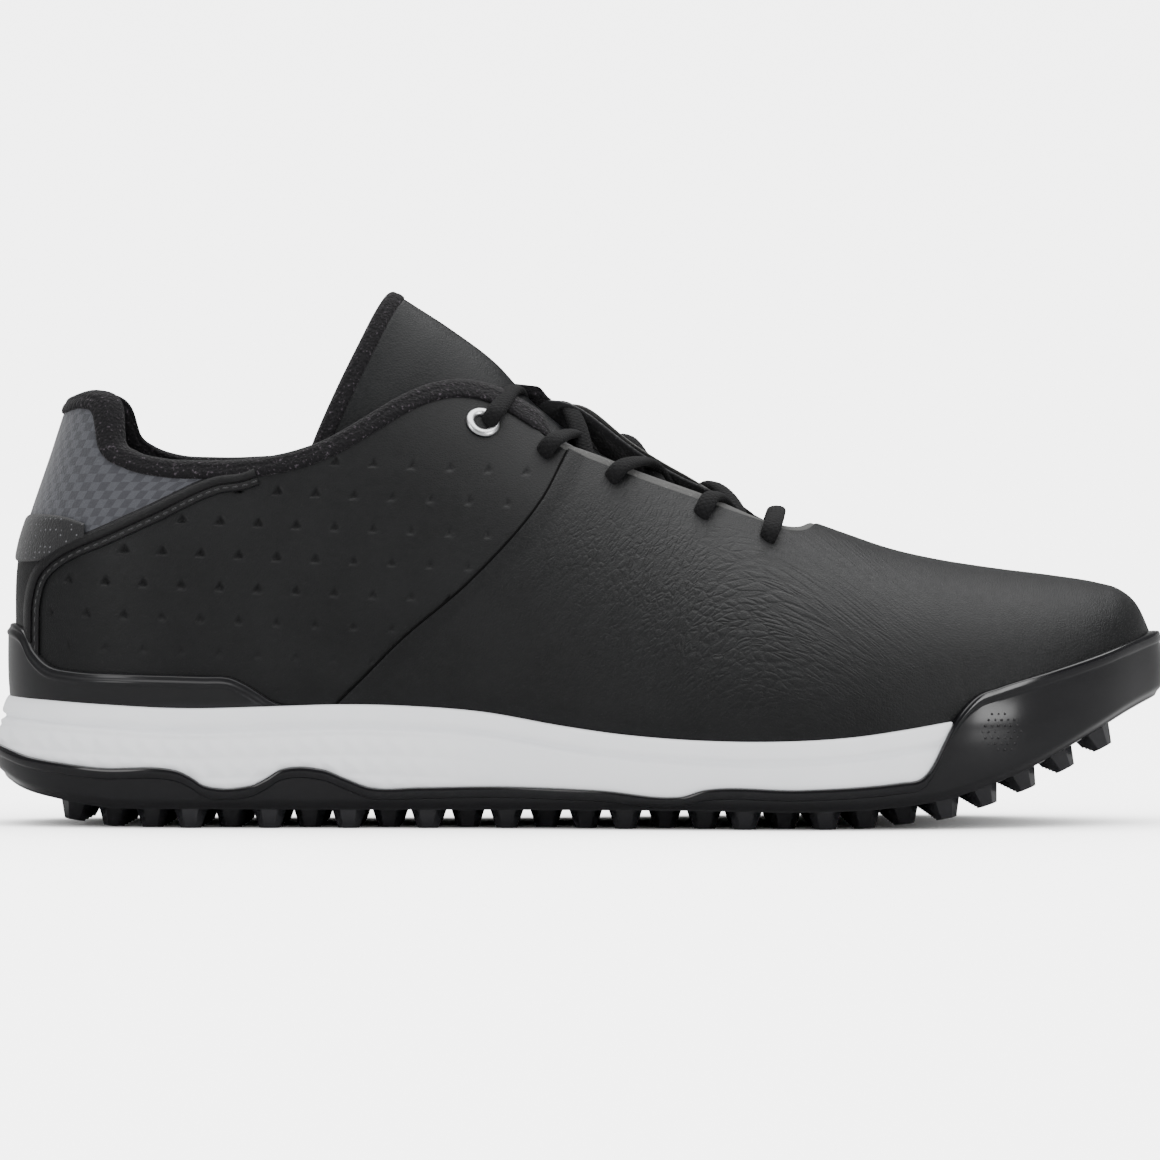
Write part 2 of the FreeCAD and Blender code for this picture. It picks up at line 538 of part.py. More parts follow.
cover_in = size("tongue_skin")
foam_in = cover_in + size("tongue_foam")
cloth_in = foam_in + size("tongue_cloth")
steps = [("cover", 0.0, cover_in), ("foam", cover_in, foam_in), ("lining", foam_in, cloth_in)]
tongue_forms = {depth: tongue_form(f"tongue_form_{sink}", depth, sink)
                for depth, sink in [(-proud, -1), (0.0, 0), (cover_in, 2), (foam_in, 4), (cloth_in, 8),
                                    (cloth_in + proud, 10)]}


def fold_line(lean, start):
    """Straight line down from the hinge, leaning back."""
    reach = 70.0
    return [start, (start[0] - reach * math.sin(lean), start[1] - reach * math.cos(lean))]


root_edge = fold_line(HINGE_LEAN, (HINGE[0] + 0.2 + 8 * math.sin(HINGE_LEAN), HINGE[1] + 8 * math.cos(HINGE_LEAN)))
flap_edge = fold_line(HINGE_LEAN + FOLD_BACK, (HINGE[0] - 0.3, HINGE[1]))
flap_rise = [(HINGE[0] - 0.3 + 8 * math.sin(HINGE_LEAN), HINGE[1] + 8 * math.cos(HINGE_LEAN)), flap_edge[0]]
root_block = side_block("tongue_root_block", BOTH, root_edge, TONGUE_HEM[1:], [(74, 52), (74, 130)])
ahead_of_flap = side_block("ahead_of_flap", BOTH, flap_rise, flap_edge, [(100, 30), (100, 160)])
flap_blank_block = side_block("tongue_flap_block", BOTH, TONGUE_BACK, TONGUE_HEM[:3], [(-10, 68), (-10, 160)],
                              [(-47, 160), TONGUE_BACK[0]])
behind = beside(TONGUE_BACK, -size("binding_band"))
binding_band = side_block("tongue_binding_band", BOTH, TONGUE_BACK, behind[::-1])
for part, outer, inner in steps:
    shell = cut(f"tongue_{part}_layer", tongue_forms[outer], tongue_forms[inner])
    keep(f"tongue_root_{part}", common(f"tongue_root_{part}", shell, root_block))
    keep(f"tongue_flap_{part}", cut(f"tongue_flap_{part}", common(f"flap_{part}_blank", shell, flap_blank_block),
                                    ahead_of_flap, binding_band))
tongue_rim = cut("tongue_rim", tongue_forms[-proud], tongue_forms[cloth_in + proud])
keep("tongue_binding", common("tongue_binding", tongue_rim, binding_band))

# The collar binding stays clear of the tongue that it closes over.
tongue_room = tongue_form("tongue_room", -size("tongue_clearance"), -1)
for name, blank in binding_blanks.items():
    keep(name, cut(name, blank, tongue_room))

# ---------------------------------------------------------------------------------------------
# Top eyelet rings
# ---------------------------------------------------------------------------------------------
def eyelet_ring(name, side, spot):
    """Rolled metal ring: a barrel through the facing with a flange on its outer face."""
    body = doc.addObject("PartDesign::Body", f"{name}_body")
    sketch = body.newObject("Sketcher::SketchObject", f"{name}_sketch")
    plane = [item for item in body.Origin.OriginFeatures if item.Role == "XZ_Plane"][0]
    sketch.AttachmentSupport = [(plane, "")]
    sketch.MapMode = "FlatFace"
    bore, tube, flange = size("ring_bore") / 2, size("ring_tube") / 2, size("ring_flange") / 2
    rise, depth = size("ring_proud"), skin + pad
    profile = [(bore, rise), (flange, rise), (flange, 0.05), (tube, 0.05), (tube, -depth), (bore, -depth)]
    for (a, b), (c, d) in zip(profile, profile[1:] + profile[:1]):
        sketch.addGeometry(Part.LineSegment(Vector(a, b, 0), Vector(c, d, 0)), False)
    turn = body.newObject("PartDesign::Revolution", f"{name}_turn")
    turn.Profile = sketch
    turn.ReferenceAxis = (sketch, ["V_Axis"])
    turn.Angle = 360
    normal = surface_normal(side, *spot)
    body.Placement = Placement(surface_point(side, *spot), Rotation(Vector(0, 0, 1), normal))
    return body


keep("lateral_top_eyelet", eyelet_ring("lateral_top_eyelet", LATERAL, EYELETS[4]))
keep("medial_top_eyelet", eyelet_ring("medial_top_eyelet", MEDIAL, EYELETS_MEDIAL[4]))

# ---------------------------------------------------------------------------------------------
# Lace: one length, laced criss-cross over the facings, both ends tucked down beside the tongue
# ---------------------------------------------------------------------------------------------
LACE_ROUTE = [
    (-26, 22.5, 59), (-5, 25, 53), (15.5, 29.5, 47.5), (35, 34.5, 43), (43, 32.5, 50), (32, 27.5, 58),
    (12, 22.5, 66), (-8, 19.5, 74), (-25, 17.5, 82), (-30, 14.5, 92.5), (-25.5, 9, 102.5), (-23.5, 17.5, 107),
    (-20.5, 15, 110.5), (-16.5, 2, 110.8), (-14, -11.5, 97.5), (-11.5, -14.5, 91), (-9, -21.5, 97),
    (-5.5, -18, 100), (-1, 2, 101.5), (2.5, 4, 97), (5.5, 8, 89.5), (8.5, 15, 95.5), (12.5, 8.5, 100),
    (19, 2, 90.5), (24.5, -9.5, 81), (28.5, -13, 76), (31.5, -18, 83.5), (34.5, -13, 86), (39.5, 2, 80.5),
    (43.5, 8, 76.5), (47, 13, 71), (48.5, 18.5, 78.5), (48.5, 2.5, 84.5), (48.5, -19, 77.5), (46.5, -14, 69.5),
    (43.5, -10.5, 74), (39.5, 2, 84), (34.5, 10, 88.5), (31, 15.5, 86), (29, 9.5, 78.5), (24.5, 5.5, 85),
    (19, 2, 94), (12.5, -15.5, 93.5), (8.5, -20.5, 90.5), (5.5, -14, 84), (2.5, -11, 90), (-1, 2, 105),
    (-5.5, 11.5, 107), (-9, 15.5, 102.5), (-11.5, 8, 97.5), (-14, 6.5, 103), (-16.5, 2, 114.5),
    (-20.5, -17, 108), (-23, -21, 104.5), (-26, -13.5, 99), (-30.5, -19.5, 91.5), (-25, -23.5, 81),
    (-8.5, -26, 72.5), (11, -28.5, 65), (31.5, -32, 57), (42, -37, 49.5), (34.5, -40, 42.5),
    (14.5, -37.5, 47), (-5, -33.5, 52.5), (-25.5, -30.5, 58.5)]
BEND_SHARE = 0.45        # share of the shorter run that a bend takes up


def bent_path(points):
    """Wire of straight runs joined by tangent arcs, and the arcs' radii."""
    edges, radii = [], []
    start = points[0]
    for before, corner, after in zip(points, points[1:], points[2:]):
        back, ahead = (before - corner), (after - corner)
        reach = BEND_SHARE * min(back.Length, ahead.Length)
        turn = math.pi - back.getAngle(ahead)
        back.normalize()
        ahead.normalize()
        radius = reach / math.tan(turn / 2)
        middle = (back + ahead).normalize()
        middle = corner + middle * (radius / math.cos(turn / 2) - radius)
        first, last = corner + back * reach, corner + ahead * reach
        edges += [Part.LineSegment(start, first).toShape(), Part.Arc(first, middle, last).toShape()]
        radii.append(radius)
        start = last
    edges.append(Part.LineSegment(start, points[-1]).toShape())
    return Part.Wire(edges), radii


lace_points = [Vector(*point) for point in LACE_ROUTE]
lace_path, bends = bent_path(lace_points)
lace_radius = size("lace_width") / 2
lace_section = Part.Wire(Part.makeCircle(lace_radius, lace_points[0], lace_points[1] - lace_points[0]))
lace_shape = lace_path.makePipeShell([lace_section], True, False)
print("lace length", round(lace_path.Length, 1), "bend radii", [round(radius, 1) for radius in bends])
print("lace volume over section times length", lace_shape.Volume / (math.pi * lace_radius ** 2 * lace_path.Length))
keep("lace", feature("lace_tube", lace_shape))
for name, end, neighbour in (("medial_aglet", 0, 1), ("lateral_aglet", -1, -2)):
    aglet = doc.addObject("Part::Cylinder", f"{name}_sleeve")
    aglet.setExpression("Radius", "sizes.aglet_width / 2")
    aglet.setExpression("Height", "sizes.aglet_length")
    away = lace_points[end] - lace_points[neighbour]
    aglet.Placement = Placement(lace_points[end], Rotation(Vector(0, 0, 1), away))
    keep(name, aglet)

# ---------------------------------------------------------------------------------------------
# Check and write
# ---------------------------------------------------------------------------------------------
doc.recompute()
for item in doc.Objects:
    if "Invalid" in item.State or "Error" in item.State:
        raise RuntimeError(f"{item.Name} failed: {item.State}")
for name, item in subparts.items():
    shape = item.Shape
    if shape.isNull() or not shape.isValid() or not shape.Solids:
        raise RuntimeError(f"{name} has no valid solid")
    print(f"{name}: {len(shape.Solids)} solid(s), {shape.Volume / 1000:.2f} cm3")
os.makedirs("parts", exist_ok=True)
for name, item in subparts.items():
    item.Shape.exportStep(f"parts/{name}.step")
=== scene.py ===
import math
import bpy
import numpy as np
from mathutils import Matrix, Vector


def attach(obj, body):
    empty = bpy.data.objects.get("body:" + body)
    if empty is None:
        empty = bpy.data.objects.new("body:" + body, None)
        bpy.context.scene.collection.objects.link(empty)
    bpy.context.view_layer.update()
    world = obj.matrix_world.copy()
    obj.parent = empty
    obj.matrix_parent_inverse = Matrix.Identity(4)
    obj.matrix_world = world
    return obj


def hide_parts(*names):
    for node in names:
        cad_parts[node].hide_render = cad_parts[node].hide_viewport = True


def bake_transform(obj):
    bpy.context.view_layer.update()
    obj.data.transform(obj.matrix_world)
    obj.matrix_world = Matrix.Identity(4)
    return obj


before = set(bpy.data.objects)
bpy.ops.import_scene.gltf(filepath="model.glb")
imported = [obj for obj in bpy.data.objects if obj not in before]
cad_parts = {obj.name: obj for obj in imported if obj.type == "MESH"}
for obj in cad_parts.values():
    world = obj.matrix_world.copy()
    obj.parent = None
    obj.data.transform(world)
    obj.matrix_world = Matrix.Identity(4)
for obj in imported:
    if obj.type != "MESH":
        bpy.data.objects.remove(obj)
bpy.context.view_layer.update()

# ---- Camera, floor and light -----------------------------------------------------------------
# A level camera looks square at the lateral side from 1.6 m, at the height of the shoe's middle.
# The floor is a plain pale dish that rises far away, and large soft panels light the shoe from
# above, from the front and from both ends.
camera = bpy.data.objects.new("camera", bpy.data.cameras.new("camera"))
bpy.context.scene.collection.objects.link(camera)
bpy.context.scene.camera = camera
camera_distance = 1.6
view_width = 0.3016
camera.location = (0.0, -camera_distance, 0.063)
camera.rotation_euler = (math.radians(90), 0, 0)
camera.data.sensor_width = 36.0
camera.data.lens = 36.0 * camera_distance / view_width
camera.data.clip_start = 0.05


def plain_material(name, color, roughness):
    """Material with one colour and roughness on its shader's own sockets."""
    material = bpy.data.materials.new(name)
    material.use_nodes = True
    shader = material.node_tree.nodes["Principled BSDF"]
    shader.inputs["Base Color"].default_value = (*color, 1)
    shader.inputs["Roughness"].default_value = roughness
    return material


def floor_dish():
    """Rings of a disc: flat out to 5 m, then rising on a smooth curve to 3 m at 12 m."""
    reach = np.array([0.001, 0.5, 1.5, 3, 5, 6, 7, 8, 9, 10, 11, 12], float)
    rise = 3.0 * np.clip((reach - 5) / 7, 0, 1) ** 2
    turn = np.linspace(0, 2 * math.pi, 97)[:-1]
    points = np.stack([reach[:, None] * np.cos(turn), reach[:, None] * np.sin(turn),
                       rise[:, None] + 0 * turn], -1)
    index = np.arange(points.shape[0] * 96).reshape(-1, 96)
    faces = np.stack([index[:-1], index[1:], np.roll(index[1:], -1, 1), np.roll(index[:-1], -1, 1)], -1)
    mesh = bpy.data.meshes.new("floor")
    mesh.from_pydata(points.reshape(-1, 3).tolist(), [], faces.reshape(-1, 4).tolist() + [index[0].tolist()])
    mesh.shade_smooth()
    return mesh


def floor_material():
    """White floor that glows towards the eye, its glow darkened by ambient occlusion near the shoe as a painted
    contact shadow; it is dim in reflections and clear from underneath.
    """
    material = plain_material("pale_floor", (0.95, 0.95, 0.95), 0.9)
    nodes, links = material.node_tree.nodes, material.node_tree.links
    shader = nodes["Principled BSDF"]
    shader.inputs["Specular IOR Level"].default_value = 0.0
    shader.inputs["Emission Color"].default_value = (1, 1, 1, 1)
    ray = nodes.new("ShaderNodeLightPath")
    glow = nodes.new("ShaderNodeMapRange")
    glow.inputs["To Min"].default_value = 0.0
    glow.inputs["To Max"].default_value = 3.6
    # Ambient occlusion darkens the floor's glow under and beside the shoe: a painted contact shadow.
    near = nodes.new("ShaderNodeAmbientOcclusion")
    near.samples = 8
    near.inputs["Distance"].default_value = 0.22
    shade = nodes.new("ShaderNodeMath")
    shade.operation = "POWER"
    shade.inputs[1].default_value = 1.6
    shaded = nodes.new("ShaderNodeMath")
    shaded.operation = "MULTIPLY"
    tone = nodes.new("ShaderNodeMix")
    tone.data_type = "RGBA"
    tone.inputs["A"].default_value = (0.95, 0.95, 0.95, 1)
    tone.inputs["B"].default_value = (0.3, 0.3, 0.3, 1)
    side = nodes.new("ShaderNodeNewGeometry")
    clear = nodes.new("ShaderNodeBsdfTransparent")
    mix = nodes.new("ShaderNodeMixShader")
    links.new(ray.outputs["Is Camera Ray"], glow.inputs["Value"])
    links.new(near.outputs["AO"], shade.inputs[0])
    links.new(glow.outputs["Result"], shaded.inputs[0])
    links.new(shade.outputs["Value"], shaded.inputs[1])
    links.new(shaded.outputs["Value"], shader.inputs["Emission Strength"])
    links.new(ray.outputs["Is Glossy Ray"], tone.inputs["Factor"])
    links.new(tone.outputs["Result"], shader.inputs["Base Color"])
    links.new(side.outputs["Backfacing"], mix.inputs["Fac"])
    links.new(shader.outputs["BSDF"], mix.inputs[1])
    links.new(clear.outputs["BSDF"], mix.inputs[2])
    links.new(mix.outputs["Shader"], nodes["Material Output"].inputs["Surface"])
    return material


floor_mesh = floor_dish()
floor_mesh.materials.append(floor_material())
floor = bpy.data.objects.new("floor", floor_mesh)
bpy.context.scene.collection.objects.link(floor)

world = bpy.data.worlds.new("studio")
bpy.context.scene.world = world
world.use_nodes = True
backdrop = world.node_tree.nodes["Background"]
backdrop.inputs["Color"].default_value = (1, 1, 1, 1)
seen = world.node_tree.nodes.new("ShaderNodeLightPath")
level = world.node_tree.nodes.new("ShaderNodeMapRange")
level.inputs["To Min"].default_value = 0.42
level.inputs["To Max"].default_value = 4.8
mirrored = world.node_tree.nodes.new("ShaderNodeMapRange")
mirrored.inputs["To Min"].default_value = 1.0
mirrored.inputs["To Max"].default_value = 0.45
strength = world.node_tree.nodes.new("ShaderNodeMath")
strength.operation = "MULTIPLY"
world.node_tree.links.new(seen.outputs["Is Camera Ray"], level.inputs["Value"])
world.node_tree.links.new(seen.outputs["Is Glossy Ray"], mirrored.inputs["Value"])
world.node_tree.links.new(level.outputs["Result"], strength.inputs[0])
world.node_tree.links.new(mirrored.outputs["Result"], strength.inputs[1])
world.node_tree.links.new(strength.outputs["Value"], backdrop.inputs["Strength"])


def soft_panel(name, place, target, width, height, power):
    """Rectangular light at a place, facing a target."""
    light = bpy.data.lights.new(name, "AREA")
    light.shape = "RECTANGLE"
    light.size, light.size_y = width, height
    light.energy = power
    panel = bpy.data.objects.new(name, light)
    bpy.context.scene.collection.objects.link(panel)
    panel.location = place
    panel.rotation_euler = (Vector(target) - Vector(place)).to_track_quat("-Z", "Y").to_euler()


sun = bpy.data.objects.new("sky_panel", bpy.data.lights.new("sky_panel", "SUN"))
bpy.context.scene.collection.objects.link(sun)
sun.data.energy = 3.9
sun.data.angle = math.radians(80)
sun.rotation_euler = (math.radians(-6), math.radians(4), 0)
soft_panel("front_left_panel", (-0.9, -1.3, 0.8), (0, 0, 0.05), 0.6, 0.9, 7)
soft_panel("front_right_panel", (1.1, -0.9, 0.55), (0.05, 0, 0.04), 0.3, 0.9, 7)

# ---- Lining ----------------------------------------------------------------------------------
# Black textile lining glued inside the whole upper, up to collar, facings and ridge.  Leather,
# padding and lining are pulled over one last, so the form that all of them share stands here:
# a half width that depends on the place along the shoe and the height.  Millimetres throughout.
LATERAL, MEDIAL = -1, 1
RIDGE = [(-118, 142), (-60, 142), (-52, 140), (-46, 136.5), (-36, 130.2), (-20, 120.5), (-5, 111.5), (8, 104.2),
         (26, 94.5), (42, 86.8), (56, 79.8), (61.5, 77.9), (70, 74.9), (80, 71.5), (92, 68.7), (108, 66.2),
         (124, 64.2), (135, 62.4), (141, 60.5), (145.5, 56.4), (149, 49)]
FOOTBED = [(-146, 26), (-120, 23.5), (-60, 23), (-20, 21), (10, 16.5), (50, 14.5), (80, 17), (100, 21.5),
           (120, 27), (135, 33), (149, 38)]
BACK = [(18, -143.5), (34, -146.2), (52, -146.5), (66, -146.2), (73, -145), (80, -142.8), (95, -137.7),
        (110, -132.8), (125, -127), (142, -118)]
CENTRE = [(-146, 0), (-80, 0.5), (-40, 2), (20, 2), (66, 2.5), (100, 4.5), (149, 7.5)]
SIDE_REACH = {
    LATERAL: [(-146, 36.5), (-105, 36.8), (-80, 38), (-50, 40), (-20, 43), (10, 49), (40, 54), (60, 55.5)],
    MEDIAL: [(-146, 34), (-105, 33.8), (-80, 32.8), (-50, 29.5), (-20, 29.7), (10, 36), (40, 44), (75, 48)],
}
CROWN = [(-60, 1.5), (40, 1.25), (90, 2.0)]
TOE_TIP = 149.0
HEEL_TURN = -106.0
TOE_START = {LATERAL: 60.0, MEDIAL: 75.0}
TOE_POWER = {LATERAL: 2.0, MEDIAL: 1.95}
COLLAR = {LATERAL: [(-133.5, 106.3), (-128, 107.3), (-124.5, 105.4), (-121, 96.4), (-115, 91.7), (-107, 89.5),
                    (-96.7, 89), (-86.6, 89.2), (-74.5, 90.9), (-64, 94.4), (-57.5, 97.9), (-50.9, 102),
                    (-44.3, 106.1), (-38, 109), (-31.2, 110.3), (-23.5, 109), (-16.5, 105.3), (-8.1, 99.7)],
          MEDIAL: [(-133.5, 106.3), (-128, 107.3), (-124.5, 105.4), (-120.2, 98.5), (-114, 94), (-106, 91.4),
                   (-96.7, 90.8), (-86.6, 90.9), (-74, 92.3), (-63.7, 97), (-53.5, 102), (-40.7, 107.8),
                   (-33.1, 109.4), (-22.9, 109.8), (-16.5, 109.2), (-8.1, 106.4)]}
FACING = {LATERAL: [(-8.1, 99.6), (5.1, 95.1), (15.4, 91), (30.8, 85.6), (46.2, 80.1), (58, 77), (67, 78.6)],
          MEDIAL: [(-8.1, 106.4), (2, 103.5), (12, 99), (26, 91.3), (42, 83.8), (57, 78.6), (67, 78.6)]}
CURL_END = 34.0
MM = 0.001


def curve_at(points, places):
    """Value at each place on the smooth curve through (place, value) points: cubic between neighbours,
    each knot's slope the mean of the slopes beside it, and flat outside the end points."""
    knots, values = np.array(points, float).T
    steps = np.diff(values) / np.diff(knots)
    slopes = np.concatenate([steps[:1], (steps[:-1] + steps[1:]) / 2, steps[-1:]])
    places = np.clip(places, knots[0], knots[-1])
    i = np.clip(np.searchsorted(knots, places, side="right") - 1, 0, len(steps) - 1)
    span = knots[i + 1] - knots[i]
    u = (places - knots[i]) / span
    return (values[i] * (1 + 2 * u) * (1 - u) ** 2 + slopes[i] * span * u * (1 - u) ** 2
            + values[i + 1] * u * u * (3 - 2 * u) - slopes[i + 1] * span * u * u * (1 - u))


def closing(u, power):
    """Superellipse from 1 at u = 0 to 0 at u = 1."""
    return (1 - np.clip(u, 0, 1) ** power) ** (1 / power)


def half_width(side, x, z, grow=0.0, drop=None):
    """Distance of the form's face from its centre line at (x, z), grown or shrunk by grow: the side
    reach, times a bulge over the height, times superellipses that close it at the toe and the heel."""
    low = curve_at(FOOTBED, x)
    top = curve_at(RIDGE, x) + (grow if drop is None else -drop(x))
    share = (z - low) / (top - low)
    rise = np.clip((share - 0.15) / 0.85, 0, 1)
    bulge = np.where(share < 0.15, 1 - 0.1 * (1 - share / 0.15) ** 2,
                     (1 - rise ** 2) ** (1 / curve_at(CROWN, x)))
    start = TOE_START[side]
    toe = closing((x - start) / (TOE_TIP + grow - start), TOE_POWER[side])
    heel = closing((HEEL_TURN - x) / (HEEL_TURN - curve_at(BACK, z) + grow), 2.2)
    return (curve_at(SIDE_REACH[side], x) + grow) * bulge * toe * heel


def form_points(side, xz, grow=0.0, drop=None):
    """Points of the form's face over an array of (x, z) places.  The medial facing curls up and out in
    the middle of the lacing: a bell over x that fades out below the facing."""
    x, z = xz[..., 0], xz[..., 1]
    points = np.stack([x, curve_at(CENTRE, x) + side * half_width(side, x, z, grow, drop), z], -1)
    if side == MEDIAL and drop is None:
        edge = curve_at(FACING[MEDIAL], x)
        curl = np.exp(-((x - 0.5) / 9.5) ** 2) * ease(z, edge - 17, edge + 1) * ease(CURL_END - x, 0, 12)
        points[..., 2] += 4.6 * curl
        points[..., 1] += 1.2 * curl
    return points


def ease(value, start, end):
    """Smooth step from 0 at start to 1 at end."""
    share = np.clip((value - start) / (end - start), 0, 1)
    return share * share * (3 - 2 * share)


def along(points, share):
    """Places on the smooth line through 2D or 3D points, at shares of its length."""
    points = np.array(points, float)
    reach = np.concatenate([[0], np.cumsum(np.linalg.norm(np.diff(points, axis=0), axis=1))])
    return np.stack([curve_at(np.stack([reach, axis], -1), share * reach[-1]) for axis in points.T], -1)


def patch(low, high, rear, front, u, w):
    """Grid of (x, z) places inside four border lines, u from rear to front and w from low to high:
    the two ruled surfaces between opposite borders added, less the bilinear one of the corners."""
    a, c, d = along(low, u), along(rear, w), along(front, w)
    b = high if len(high) == len(u) else along(high, u)
    u, w = u[:, None, None], w[None, :, None]
    corners = ((1 - u) * (1 - w) * a[0] + u * (1 - w) * a[-1] + (1 - u) * w * b[0] + u * w * b[-1])
    return (1 - w) * a[:, None] + w * b[:, None] + (1 - u) * c[None] + u * d[None] - corners


def surface(name, grids, lifts=None, uvs=None, masks=None):
    """Piece of one or more point grids in millimetres.  Faces run from each point to its next ones along
    both axes, points that meet are joined, and lifts then move the points along their normals."""
    mesh = bpy.data.meshes.new(name)
    faces, start = [], 0
    for grid in grids:
        rows, columns = grid.shape[:2]
        index = start + np.arange(rows * columns).reshape(rows, columns)
        quads = np.stack([index[:-1, :-1], index[1:, :-1], index[1:, 1:], index[:-1, 1:]], -1)
        faces.append(quads.reshape(-1, 4))
        start += rows * columns
    points = np.concatenate([grid.reshape(-1, 3) for grid in grids])
    _, first, back = np.unique(np.round(points / 0.01).astype(np.int64), axis=0, return_index=True,
                               return_inverse=True)
    corners = back.reshape(-1)[np.concatenate(faces)]
    spread = np.sort(corners, axis=1)
    whole = (np.diff(spread, axis=1) > 0).all(1)
    triangles = [list(dict.fromkeys(face)) for face in corners[~whole].tolist()]
    mesh.from_pydata((points[first] * MM).tolist(), [],
                     corners[whole].tolist() + [face for face in triangles if len(face) == 3])
    mesh.update()
    if uvs is not None:
        flat = np.concatenate([uv.reshape(-1, 2) for uv in uvs])[first]
        layer = mesh.uv_layers.new(name="UVMap")
        loops = np.empty(len(mesh.loops), np.int32)
        mesh.loops.foreach_get("vertex_index", loops)
        layer.data.foreach_set("uv", flat[loops].astype(np.float32).ravel())
    for label, values in (masks or {}).items():
        mask = np.concatenate([value.reshape(-1) for value in values])[first]
        mesh.attributes.new(label, "FLOAT", "POINT").data.foreach_set("value", mask.astype(np.float32))
    if lifts is not None:
        lift = np.concatenate([value.reshape(-1) for value in lifts])[first]
        normals = np.empty(len(mesh.vertices) * 3)
        mesh.vertices.foreach_get("normal", normals)
        moved = points[first] + normals.reshape(-1, 3) * lift[:, None]
        mesh.vertices.foreach_set("co", (moved * MM).astype(np.float32).ravel())
    mesh.shade_smooth()
    mesh.update()
    piece = bpy.data.objects.new(name, mesh)
    bpy.context.scene.collection.objects.link(piece)
    return piece


def wall(piece, thickness):
    """Live Solidify that gives a piece its thickness, inwards from the shown face."""
    solid = piece.modifiers.new("thickness", "SOLIDIFY")
    solid.thickness = thickness * MM
    solid.offset = -1
    return piece


def dress(piece, material, body, slot, *nodes):
    """Gives a piece its material and body, and lets it stand for CAD nodes by hiding them; the slot argument is
    not used.
    """
    piece.data.materials.clear()
    piece.data.materials.append(material)
    if body:
        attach(piece, body)
    if nodes:
        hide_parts(*nodes)
    return piece


def outward(side, grid):
    """The grid of one side, turned where needed so that its faces look outwards."""
    return grid if side == LATERAL else grid[:, ::-1]


def throat_and_ridge(throat, ridge, u):
    """Border over the throat edge for the first half of u and along the ridge for the rest."""
    return np.where(u[:, None] < 0.5, along(throat, u * 2), along(ridge, u * 2 - 1))


def under_ridge(places, climb, drop=0.0):
    """The places, none of them higher than the ridge less a share that shrinks to nothing at the top."""
    roof = curve_at(RIDGE, places[..., 0]) + drop - 9 * (1 - climb)[None]
    places[..., 1] = np.minimum(places[..., 1], roof)
    return places


def value_group(name, inputs, outputs):
    """New shader node group with named sockets, and its input and output nodes."""
    group = bpy.data.node_groups.new(name, "ShaderNodeTree")
    for label, value in inputs:
        group.interface.new_socket(label, in_out="INPUT", socket_type="NodeSocketFloat").default_value = value
    for label in outputs:
        group.interface.new_socket(label, in_out="OUTPUT", socket_type="NodeSocketFloat")
    return group, group.nodes.new("NodeGroupInput"), group.nodes.new("NodeGroupOutput")


def fibre_group():
    """Knit and cloth: fine rows of loops crossed by noise, as a height and a sparkle mask."""
    group, given, result = value_group("fibre", [("Scale", 1400.0)], ["Height", "Sparkle"])
    nodes, links = group.nodes, group.links
    place = nodes.new("ShaderNodeTexCoord")
    loops = nodes.new("ShaderNodeTexVoronoi")
    loops.feature = "F1"
    strands = nodes.new("ShaderNodeTexNoise")
    strands.inputs["Detail"].default_value = 3.0
    mix = nodes.new("ShaderNodeMath")
    mix.operation = "SUBTRACT"
    bright = nodes.new("ShaderNodeMapRange")
    bright.inputs["From Min"].default_value = 0.60
    bright.inputs["From Max"].default_value = 0.72
    links.new(place.outputs["Object"], loops.inputs["Vector"])
    links.new(place.outputs["Object"], strands.inputs["Vector"])
    links.new(given.outputs["Scale"], loops.inputs["Scale"])
    links.new(given.outputs["Scale"], strands.inputs["Scale"])
    links.new(strands.outputs["Fac"], mix.inputs[0])
    links.new(loops.outputs["Distance"], mix.inputs[1])
    links.new(strands.outputs["Fac"], bright.inputs["Value"])
    links.new(mix.outputs["Value"], result.inputs["Height"])
    links.new(bright.outputs["Result"], result.inputs["Sparkle"])
    return group


fibre = fibre_group()


def cloth_material(name, dark, light, roughness, scale, depth, sheen=0.2):
    """Textile: fibre height as bump, and its sparkle between a dark and a light colour."""
    material = plain_material(name, dark, roughness)
    nodes, links = material.node_tree.nodes, material.node_tree.links
    shader = nodes["Principled BSDF"]
    shader.inputs["Sheen Weight"].default_value = sheen
    shader.inputs["Specular IOR Level"].default_value = 0.25
    effect = nodes.new("ShaderNodeGroup")
    effect.node_tree = fibre
    effect.inputs["Scale"].default_value = scale
    tone = nodes.new("ShaderNodeMix")
    tone.data_type = "RGBA"
    tone.inputs["A"].default_value = (*dark, 1)
    tone.inputs["B"].default_value = (*light, 1)
    bump = nodes.new("ShaderNodeBump")
    bump.inputs["Strength"].default_value = 0.8
    bump.inputs["Distance"].default_value = depth * MM
    links.new(effect.outputs["Sparkle"], tone.inputs["Factor"])
    links.new(tone.outputs["Result"], shader.inputs["Base Color"])
    links.new(effect.outputs["Height"], bump.inputs["Height"])
    links.new(bump.outputs["Normal"], shader.inputs["Normal"])
    return material


